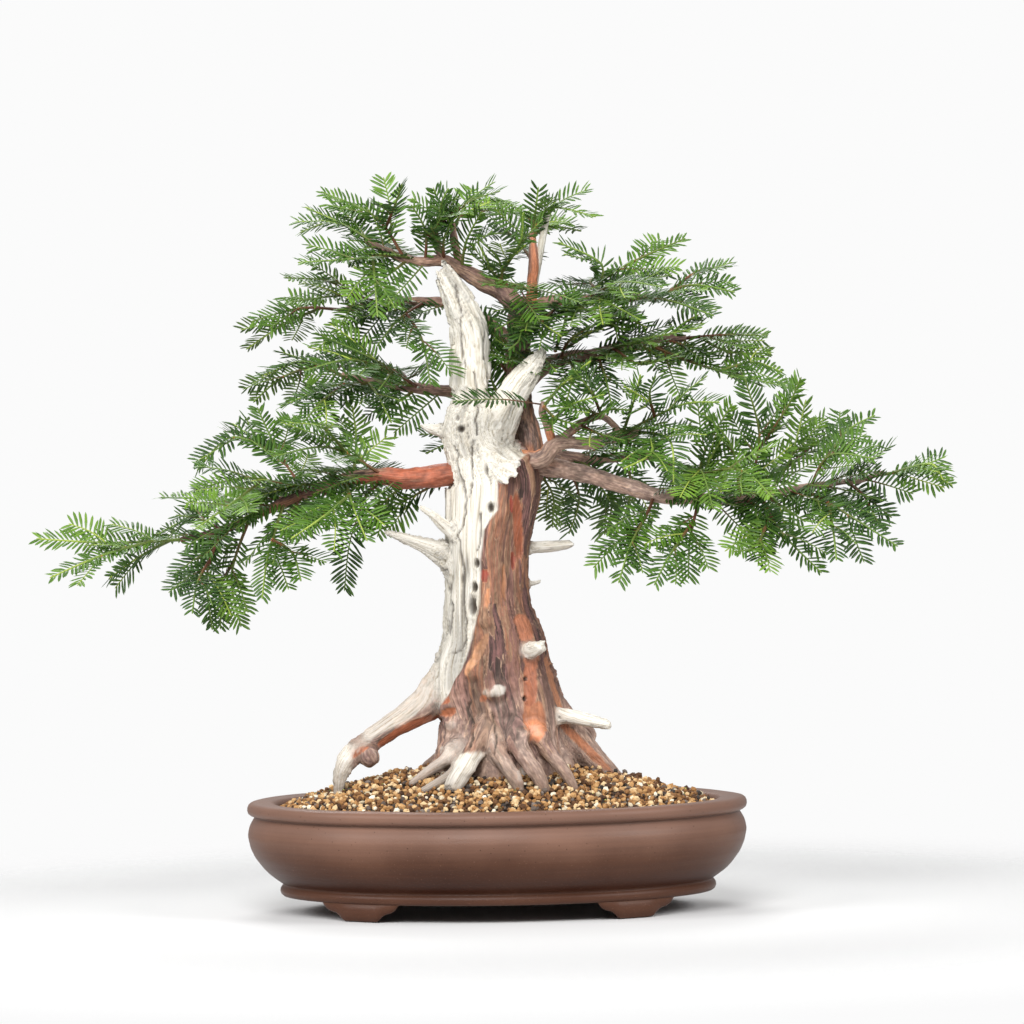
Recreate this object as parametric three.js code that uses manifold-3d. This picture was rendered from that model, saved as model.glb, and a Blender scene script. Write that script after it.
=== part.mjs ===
// An English yew grown as a bonsai, with old deadwood, in an oval unglazed stoneware pot.
// Millimetres, +Z up. The origin is under the middle of the pot, on the surface that it stands on.
// The front, with the bare spar and the pale strip of deadwood, looks along -Y.

import * as THREE from 'three';
import { mergeVertices } from 'three/addons/utils/BufferGeometryUtils.js';
import Module from 'manifold-3d';

const wasm = await Module();
wasm.setup();

// Pot
const POT_WIDTH = 400;
const POT_DEPTH = 304;
const POT_HEIGHT = 89;
const FOOT_HEIGHT = 14;
const FLOOR_TOP = 26;
const POT_SIDES = 36;
const FOOT_INNER = 76;
const FOOT_OUTER = 140;
const DRAIN_RADIUS = 9;
const DRAIN_PLACE = 75;

// Plastic meshes over the drainage holes
const MESH_SIZE = 34;
const MESH_THICKNESS = 1.2;
const MESH_BAR = 3;

// Soil
const SOIL_EDGE = 83;
const SOIL_MOUND = 33;
const SOIL_GRAIN = 1.7;

// Fit and wood
const CLEARANCE = 0.3;
const WOOD_CLEARANCE = 0.36;

// Needled shoots
const TWIG_BASE = 1.7;
const TWIG_TIP = 0.8;
const NEEDLE_LENGTH = 18;
const NEEDLE_PITCH = 7.6;
const NEEDLE_SPREAD = 62;
const NEEDLE_HALF_WIDTH = 1.8;
const NEEDLE_GAP = 0.35;
const BARE_SEGMENT = 34;
const BARE_MAIN = 0.5;
const BARE_SIDE = 0.28;

const UP = new THREE.Vector3(0, 0, 1);
const BACK = new THREE.Vector3(0, 1, 0);

// A fixed draw from 0 to 1 for a pair of whole numbers, so that every build is the same.
function draw(first, second) {
  const wave = Math.sin(first * 12.9898 + second * 78.233) * 437.585453;
  return wave - Math.floor(wave);
}

function toSolid(geometry) {
  const bare = new THREE.BufferGeometry();
  bare.setAttribute('position', geometry.getAttribute('position').clone());
  if (geometry.index) bare.setIndex(geometry.index.clone());
  const merged = mergeVertices(bare, 1e-4);
  const corners = merged.index.array;
  const kept = [];
  for (let i = 0; i < corners.length; i += 3) {
    const [a, b, c] = [corners[i], corners[i + 1], corners[i + 2]];
    if (a !== b && b !== c && c !== a) kept.push(a, b, c);
  }
  return new wasm.Manifold(new wasm.Mesh({
    numProp: 3,
    vertProperties: new Float32Array(merged.getAttribute('position').array),
    triVerts: new Uint32Array(kept),
  }));
}

function fromSolid(solid) {
  const mesh = solid.getMesh();
  const geometry = new THREE.BufferGeometry();
  geometry.setAttribute('position', new THREE.BufferAttribute(new Float32Array(mesh.vertProperties), 3));
  geometry.setIndex(Array.from(mesh.triVerts));
  geometry.computeVertexNormals();
  return geometry;
}

function join(solids) {
  return solids.reduce((whole, solid) => whole.add(solid));
}

function largest(solid) {
  const bodies = solid.decompose();
  return bodies.reduce((best, body) => (body.volume() > best.volume() ? body : best));
}

// Pot: every level is an oval whose lip and wall keep the same width all round.
function ovalDepth(reach) {
  const narrowing = (POT_WIDTH - POT_DEPTH) / 2;
  const straight = 120;
  return reach >= straight ? reach - narrowing : (reach * (straight - narrowing)) / straight;
}

function ovalLathe(profile) {
  const points = profile.map(([reach, height]) => new THREE.Vector2(reach, height));
  const geometry = new THREE.LatheGeometry(points, POT_SIDES);
  geometry.rotateX(Math.PI / 2);
  const position = geometry.getAttribute('position');
  for (let i = 0; i < position.count; i += 1) {
    const reach = Math.hypot(position.getX(i), position.getY(i));
    if (reach > 1e-6) position.setY(i, (position.getY(i) / reach) * ovalDepth(reach));
  }
  return geometry;
}

const POT_OUTSIDE = [
  [0, FOOT_HEIGHT], [172, FOOT_HEIGHT], [174, 21], [171.5, 23], [185, 33], [195.5, 47],
  [POT_WIDTH / 2 - 0.5, 63], [192.8, 78],
];
const POT_LIP = [[198.5, 79.5], [POT_WIDTH / 2, 85], [195, POT_HEIGHT], [179, POT_HEIGHT - 1]];
const POT_INSIDE = [[176.5, 82], [181, 56], [170, 32], [158, FLOOR_TOP], [0, FLOOR_TOP]];

// One cloud foot seen from the front: wide where it meets the pot, two scooped steps, a small sole.
function footOutline(side) {
  const middle = (side * (FOOT_INNER + FOOT_OUTER)) / 2;
  const half = (FOOT_OUTER - FOOT_INNER) / 2;
  const sole = 12;
  const shape = new THREE.Shape();
  shape.moveTo(middle - half, FOOT_HEIGHT + 3);
  shape.quadraticCurveTo(middle - half + 3, FOOT_HEIGHT / 2, middle - sole - 6, FOOT_HEIGHT / 2 - 1);
  shape.quadraticCurveTo(middle - sole - 1, 4, middle - sole, 0);
  shape.lineTo(middle + sole, 0);
  shape.quadraticCurveTo(middle + sole + 1, 4, middle + sole + 6, FOOT_HEIGHT / 2 - 1);
  shape.quadraticCurveTo(middle + half - 3, FOOT_HEIGHT / 2, middle + half, FOOT_HEIGHT + 3);
  return shape;
}

function potSolid() {
  let pot = toSolid(ovalLathe([...POT_OUTSIDE, ...POT_LIP, ...POT_INSIDE]));
  const footRing = toSolid(ovalLathe([
    [150, 0], [168, 0], [172, FOOT_HEIGHT - 2], [172, FOOT_HEIGHT + 2], [146, FOOT_HEIGHT + 2], [150, 0],
  ]));
  for (const side of [-1, 1]) {
    const prism = new THREE.ExtrudeGeometry(footOutline(side), {
      depth: POT_DEPTH, bevelEnabled: false, curveSegments: 4,
    });
    prism.rotateX(Math.PI / 2);
    prism.translate(0, POT_DEPTH / 2, 0);
    pot = pot.add(footRing.intersect(toSolid(prism)));
    const hole = new THREE.CylinderGeometry(DRAIN_RADIUS, DRAIN_RADIUS, 3 * FLOOR_TOP, 12);
    hole.rotateX(Math.PI / 2);
    hole.translate(side * DRAIN_PLACE, 0, FLOOR_TOP);
    pot = pot.subtract(toSolid(hole));
  }
  return pot;
}

function drainMeshSolid(side) {
  const opening = (MESH_SIZE - 3 * MESH_BAR) / 2;
  const step = (opening + MESH_BAR) / 2;
  let plate = toSolid(new THREE.BoxGeometry(MESH_SIZE, MESH_SIZE, MESH_THICKNESS));
  for (const x of [-step, step]) {
    for (const y of [-step, step]) {
      const cut = new THREE.BoxGeometry(opening, opening, 3 * MESH_THICKNESS);
      plate = plate.subtract(toSolid(cut.translate(x, y, 0)));
    }
  }
  return plate.translate(side * DRAIN_PLACE, 0, FLOOR_TOP + CLEARANCE + MESH_THICKNESS / 2);
}

// Soil: it fills the pot, and its top is a low mound with the grains raised as relief.
const SOIL_RINGS = [174, 159, 141, 121, 99, 74, 0];

function soilHeight(reach) {
  const part = reach / SOIL_RINGS[0];
  return SOIL_EDGE + SOIL_MOUND * (1 - part * part);
}

function soilSolid(wood) {
  const bottom = [...POT_INSIDE].reverse().map(([reach, height]) => {
    const low = height === FLOOR_TOP ? FLOOR_TOP + CLEARANCE : height;
    return [Math.max(0, reach - 1.3 * CLEARANCE), low];
  });
  const sides = bottom.filter(([, height]) => height < SOIL_EDGE - 2);
  const top = SOIL_RINGS.map((reach) => [reach, soilHeight(reach)]);
  const geometry = ovalLathe([...sides, ...top]);
  const position = geometry.getAttribute('position');
  const rows = sides.length + top.length;
  for (let i = 0; i < position.count; i += 1) {
    const row = i % rows;
    const column = Math.floor(i / rows) % POT_SIDES;
    const inner = row > sides.length && row < rows - 1;
    if (inner) position.setZ(i, position.getZ(i) + SOIL_GRAIN * (2 * draw(row, column) - 1));
  }
  let soil = toSolid(geometry);
  for (const side of [-1, 1]) {
    const pocket = new THREE.BoxGeometry(MESH_SIZE + 1, MESH_SIZE + 1, 2 * (MESH_THICKNESS + 2 * CLEARANCE));
    pocket.translate(side * DRAIN_PLACE, 0, FLOOR_TOP);
    soil = soil.subtract(toSolid(pocket));
  }
  return largest(soil.subtract(wood));
}

// A route is a smooth line through hand-chosen points: the uniform Catmull-Rom curve.
function along(points, place) {
  const last = points.length - 1;
  const start = Math.min(Math.floor(place), last - 1);
  const t = place - start;
  const [a, b, c, d] = [start - 1, start, start + 1, start + 2].map(
    (i) => points[Math.max(0, Math.min(last, i))],
  );
  return b.map((value, i) => {
    const linear = c[i] - a[i];
    const square2 = 2 * a[i] - 5 * value + 4 * c[i] - d[i];
    const cubic = 3 * value - a[i] - 3 * c[i] + d[i];
    return value + 0.5 * t * (linear + t * (square2 + t * cubic));
  });
}

function vector(values) {
  return new THREE.Vector3(values[0], values[1], values[2]);
}

// Directions along a route: forward, across in the flat of the section, and the depth of the section.
function frameAt(points, place, facing) {
  const last = points.length - 1;
  const ahead = vector(along(points, Math.min(last, place + 0.02)));
  const behind = vector(along(points, Math.max(0, place - 0.02)));
  const forward = ahead.sub(behind).normalize();
  const depth = facing.clone().addScaledVector(forward, -facing.dot(forward)).normalize();
  const across = new THREE.Vector3().crossVectors(depth, forward);
  return { forward, depth, across };
}

// Wood: a cylinder bent along its route, with the width and depth that each point gives.
function limbGeometry({ route, sides, steps }, extra) {
  const last = route.length - 1;
  const chord = vector(route[last]).sub(vector(route[0])).normalize();
  const facing = Math.abs(chord.y) > 0.75 ? UP : BACK;
  const geometry = new THREE.CylinderGeometry(1, 1, 1, sides, steps);
  const position = geometry.getAttribute('position');
  for (let i = 0; i < position.count; i += 1) {
    const place = (0.5 + position.getY(i)) * last;
    const values = along(route, place);
    const { forward, depth, across } = frameAt(route, place, facing);
    const width = values[3] + extra;
    const thick = values[4] + extra;
    const point = vector(values);
    point.addScaledVector(across, -position.getX(i) * width);
    point.addScaledVector(depth, position.getZ(i) * thick);
    if (extra > 0 && place === 0) point.addScaledVector(forward, -extra);
    if (extra > 0 && place === last) point.addScaledVector(forward, extra);
    position.setXYZ(i, point.x, point.y, point.z);
  }
  return geometry;
}

// The trunk from the root base, in the soil, up to the fork: height, middle x and y, half width, half depth.
const TRUNK_LEVELS = [
  [58, 4, 4, 46, 42], [88, 4, 3, 60, 54], [112, 4, 2, 57, 50], [134, 4, 1, 51, 44],
  [158, 4, 0, 48.5, 41], [185, -2, 0, 48.5, 40], [214, -2, 0, 42, 37], [240, -5, 0, 35.5, 34],
  [266, -5, 0, 33, 32], [292, -5, 0, 33.5, 31], [318, -2, 0, 36, 32], [343, 0, 1, 38, 31],
  [362, -8, 0, 30, 25], [384, -16, -3, 23.5, 19], [404, -12, -4, 20, 14],
];
const TRUNK_SIDES = 18;
const TRUNK_FLUTES = 7;
const FLUTE_DEPTH = 0.045;

function trunkGeometry(extra) {
  const steps = TRUNK_LEVELS.length - 1;
  const geometry = new THREE.CylinderGeometry(1, 1, 1, TRUNK_SIDES, steps);
  const position = geometry.getAttribute('position');
  for (let i = 0; i < position.count; i += 1) {
    const level = Math.round((0.5 + position.getY(i)) * steps);
    const [height, x, y, width, thick] = TRUNK_LEVELS[level];
    const angle = Math.atan2(position.getZ(i), position.getX(i));
    const low = 1 - level / steps;
    const flute = 1 + FLUTE_DEPTH * (0.4 + low) * Math.cos(TRUNK_FLUTES * angle + 0.25 * level);
    const cap = level === 0 || level === steps ? Math.sign(level - 0.5) * extra : 0;
    position.setXYZ(
      i,
      x + position.getX(i) * (width * flute + extra),
      y - position.getZ(i) * (thick * flute + extra),
      height + cap,
    );
  }
  return geometry;
}

// Each route point is x, y, z and half width, with half depth after it where the wood is flattened.
const DEADWOOD = {
  spar: {
    sides: 9,
    steps: 7,
    route: [
      [-10, -2, 372, 26, 19], [-15, -3, 392, 19, 15], [-16, -4, 416, 14.5, 12], [-15, -4, 440, 15.5, 11],
      [-16, -4, 463, 15, 10], [-25, -4, 487, 11, 8], [-35, -4, 507, 6, 5], [-39, -4, 514, 2.5, 2.5],
    ],
  },
  right_lobe: {
    sides: 7,
    steps: 5,
    route: [
      [-2, -6, 376, 17, 14], [12, -8, 402, 12, 10], [26, -10, 423, 9, 7], [38, -12, 437, 6.5, 4],
      [45, -12, 445, 1.2, 1],
    ],
  },
  left_stub: {
    sides: 5,
    steps: 3,
    route: [[-22, 0, 374, 8, 7], [-40, -3, 383, 6, 5], [-50, -6, 386, 4, 3.4], [-57, -8, 389, 1.2, 1.2]],
  },
  high_left_snag: {
    sides: 5,
    steps: 3,
    route: [[-18, -12, 290, 8, 6], [-34, -20, 305, 6, 5], [-46, -27, 316, 3.6, 3.2], [-57, -32, 324, 1, 1]],
  },
  long_left_snag: {
    sides: 6,
    steps: 4,
    route: [
      [-20, -2, 273, 18, 12], [-40, -7, 285, 12, 8], [-55, -11, 292, 7, 5.5], [-70, -14, 298, 4.5, 4],
      [-84, -18, 303, 1.5, 1.5],
    ],
  },
  right_snag: {
    sides: 5,
    steps: 3,
    route: [[12, 6, 287, 5.5], [36, 9, 290, 4.8], [52, 11, 292, 4], [63, 12, 294, 1.6]],
  },
  right_peg: {
    sides: 5,
    steps: 2,
    route: [[14, 4, 259, 3.6], [30, 8, 260, 3], [36, 10, 261, 1.8]],
  },
  torn_shield: {
    sides: 5,
    steps: 3,
    route: [[-6, -16, 362, 8, 7], [4, -24, 358, 9, 6], [16, -31, 354, 9, 4], [28, -36, 352, 5, 1.6]],
  },
  cut_stub: {
    sides: 7,
    steps: 2,
    route: [[22, -18, 207, 9], [29, -33, 209, 8], [34, -45, 211, 7.4]],
  },
  white_root_snag: {
    sides: 5,
    steps: 3,
    route: [[30, -10, 155, 8, 6], [56, -14, 154, 6.4, 5], [76, -17, 150, 5, 4], [93, -20, 146, 1.2]],
  },
  leader_snag: {
    sides: 5,
    steps: 2,
    route: [[33, 22, 484, 3.2], [40, 18, 520, 3.3], [47, 14, 556, 3.2]],
  },
};

const ROOTS = {
  leg: {
    sides: 7,
    steps: 8,
    route: [
      [-20, 0, 196, 24, 18], [-42, -4, 176, 20, 15], [-60, -8, 162, 14, 11], [-82, -13, 149, 10.5, 9],
      [-102, -17, 136, 9.5, 8.5], [-116, -19, 125, 9, 8], [-124, -20, 110, 6.5, 6], [-126, -20, 90, 4, 4],
    ],
  },
  leg_burl: { sides: 6, steps: 2, route: [[-108, -18, 134, 8], [-101, -22, 125, 8.5], [-97, -24, 119, 5]] },
  right_flare: {
    sides: 7,
    steps: 4,
    route: [
      [28, 4, 176, 22, 18], [46, 4, 150, 18, 15], [66, 5, 129, 13, 11], [84, 7, 112, 9, 8],
      [99, 9, 98, 6, 6], [106, 10, 88, 3.5],
    ],
  },
  white_cut_root: {
    sides: 5,
    steps: 3,
    route: [[-8, -34, 162, 9], [-18, -49, 136, 8.5], [-28, -63, 119, 8], [-36, -73, 104, 6.5], [-41, -79, 92, 4]],
  },
  front_root: {
    sides: 5,
    steps: 3,
    route: [[-4, -32, 166, 10], [-3, -52, 138, 8], [8, -66, 121, 6.5], [18, -76, 107, 5], [24, -82, 94, 3]],
  },
  front_right_root: {
    sides: 5,
    steps: 3,
    route: [[16, -30, 168, 11], [18, -50, 140, 8], [28, -65, 122, 6.5], [39, -76, 106, 5], [44, -82, 92, 3]],
  },
  dark_root: {
    sides: 5,
    steps: 3,
    route: [[30, -22, 166, 11], [38, -44, 137, 8], [50, -58, 121, 6.5], [62, -66, 107, 5], [70, -72, 94, 3]],
  },
  left_root: {
    sides: 5,
    steps: 3,
    route: [[-24, -20, 150, 11], [-43, -36, 130, 7], [-60, -46, 116, 5.5], [-76, -54, 98, 3.5]],
  },
  low_left_root: {
    sides: 5,
    steps: 3,
    route: [[-20, -30, 138, 9], [-38, -48, 122, 6], [-56, -60, 108, 4.5], [-66, -68, 96, 3]],
  },
  back_left_root: {
    sides: 5,
    steps: 3,
    route: [[-24, 26, 156, 13], [-46, 46, 130, 9], [-66, 62, 110, 6.5], [-80, 74, 94, 4]],
  },
  back_root: {
    sides: 5,
    steps: 3,
    route: [[4, 28, 160, 13], [6, 52, 132, 10], [12, 72, 111, 7], [16, 88, 94, 4]],
  },
  back_right_root: {
    sides: 5,
    steps: 3,
    route: [[28, 22, 158, 12], [50, 40, 130, 9], [70, 56, 110, 6.5], [86, 66, 94, 4]],
  },
  curled_root: {
    sides: 5,
    steps: 5,
    route: [[42, 12, 146, 5], [58, 22, 138, 4], [68, 27, 144, 3.6], [78, 28, 139, 3.4], [75, 25, 128, 3.2],
      [66, 16, 120, 3.2]],
  },
};

const BRANCHES = {
  leader: {
    sides: 7,
    steps: 6,
    route: [
      [16, 6, 330, 21, 18], [25, 14, 352, 17], [27, 20, 372, 13.5], [24, 26, 394, 11.5], [22, 28, 420, 10],
      [23, 27, 448, 9.6], [24, 23, 474, 8.6], [25, 21, 490, 6],
    ],
  },
  over_spar: {
    sides: 6,
    steps: 5,
    route: [
      [25, 22, 478, 8], [9, 17, 495, 7.6], [-7, 14, 503, 7], [-22, 12, 512, 6], [-36, 8, 519, 5],
      [-51, 2, 519, 3.6], [-68, -4, 522, 3], [-83, -10, 528, 2.6], [-98, -16, 537, 2.2],
    ],
  },
  crown_twig: { sides: 4, steps: 2, route: [[-35, 8, 517, 3.4], [-41, 2, 532, 3], [-43, -3, 546, 2.2]] },
  crown_twig_two: { sides: 4, steps: 2, route: [[-22, 12, 512, 3.4], [-27, 11, 534, 3], [-29, 10, 550, 2.2]] },
  orange_leader: {
    sides: 5,
    steps: 4,
    route: [[25, 22, 474, 6.5], [33, 20, 488, 4.6], [35, 17, 504, 4.2], [36, 16, 522, 3.6], [35, 16, 542, 2.4]],
  },
  upper_right: {
    sides: 5,
    steps: 5,
    route: [
      [26, 22, 476, 5], [45, 22, 485, 4.6], [61, 22, 487, 4.2], [86, 20, 487, 3.6], [112, 16, 488, 3],
      [135, 11, 487, 2.4],
    ],
  },
  mid_right: {
    sides: 5,
    steps: 5,
    route: [
      [22, 26, 412, 6.5], [40, 28, 431, 6], [63, 30, 441, 5.4], [86, 32, 443, 4.8], [122, 34, 453, 3.6],
      [158, 34, 455, 2.4],
    ],
  },
  low_right: {
    sides: 6,
    steps: 8,
    route: [
      [10, 6, 356, 10], [31, 8, 357, 9], [54, 2, 352, 7.6], [86, -6, 344, 6.6], [130, -14, 330, 6],
      [165, -20, 327, 5.2], [197, -24, 325, 4.6], [245, -28, 334, 3.6], [292, -30, 340, 2.8],
      [312, -31, 345, 2.3],
    ],
  },
  twisted_right: {
    sides: 6,
    steps: 7,
    route: [
      [10, 4, 366, 8], [30, -9, 359, 7], [42, -16, 362, 6.6], [53, -20, 373, 6], [78, -24, 372, 4.6],
      [101, -28, 377, 3.6], [118, -36, 381, 2.4],
    ],
  },
  twisted_fork: {
    sides: 5,
    steps: 3,
    route: [[50, -19, 370, 4], [45, -22, 386, 3.6], [41, -26, 398, 3], [42, -29, 405, 2.2]],
  },
  twisted_fork_two: {
    sides: 5,
    steps: 2,
    route: [[55, -20, 374, 4], [71, -24, 387, 3.4], [88, -27, 393, 2.4], [104, -33, 379, 2.2]],
  },
  back_right: {
    sides: 5,
    steps: 4,
    route: [[28, 16, 360, 6], [55, 34, 362, 5], [79, 46, 358, 4.4], [110, 60, 360, 3.4], [140, 70, 360, 2.4]],
  },
  low_left: {
    sides: 6,
    steps: 8,
    route: [
      [-12, 2, 347, 10], [-29, -2, 349, 9.4], [-50, -8, 347, 8.6], [-69, -14, 346, 8], [-89, -20, 348, 7],
      [-117, -24, 346, 6.2], [-153, -28, 334, 5.2], [-183, -30, 321, 4.4], [-215, -32, 308, 3.6],
      [-248, -34, 300, 2.4],
    ],
  },
  mid_left: {
    sides: 5,
    steps: 5,
    route: [
      [22, 28, 402, 5.4], [0, 34, 408, 5.2], [-23, 35, 414, 5], [-52, 33, 417, 4.4], [-89, 34, 423, 3.4],
      [-120, 39, 429, 2.4],
    ],
  },
  upper_left: {
    sides: 5,
    steps: 5,
    route: [
      [22, 27, 452, 5.4], [-8, 34, 474, 4.8], [-31, 40, 485, 4.2], [-52, 46, 488, 3.6], [-85, 48, 487, 3],
      [-117, 44, 482, 2.3],
    ],
  },
  low_back: {
    sides: 5,
    steps: 3,
    route: [[4, 20, 348, 8], [4, 40, 358, 6], [4, 64, 364, 4.4], [3, 84, 368, 2.8]],
  },
};

// Where a point gives no half depth, the section is round.
function rounded({ sides, steps, route }) {
  return { sides, steps, route: route.map((point) => [...point, point[3]].slice(0, 5)) };
}

const WOOD = Object.values({ ...DEADWOOD, ...ROOTS, ...BRANCHES }).map(rounded);

function woodSolid(extra) {
  const limbs = WOOD.map((limb) => toSolid(limbGeometry(limb, extra)));
  return join([toSolid(trunkGeometry(extra)), ...limbs]);
}

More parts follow.
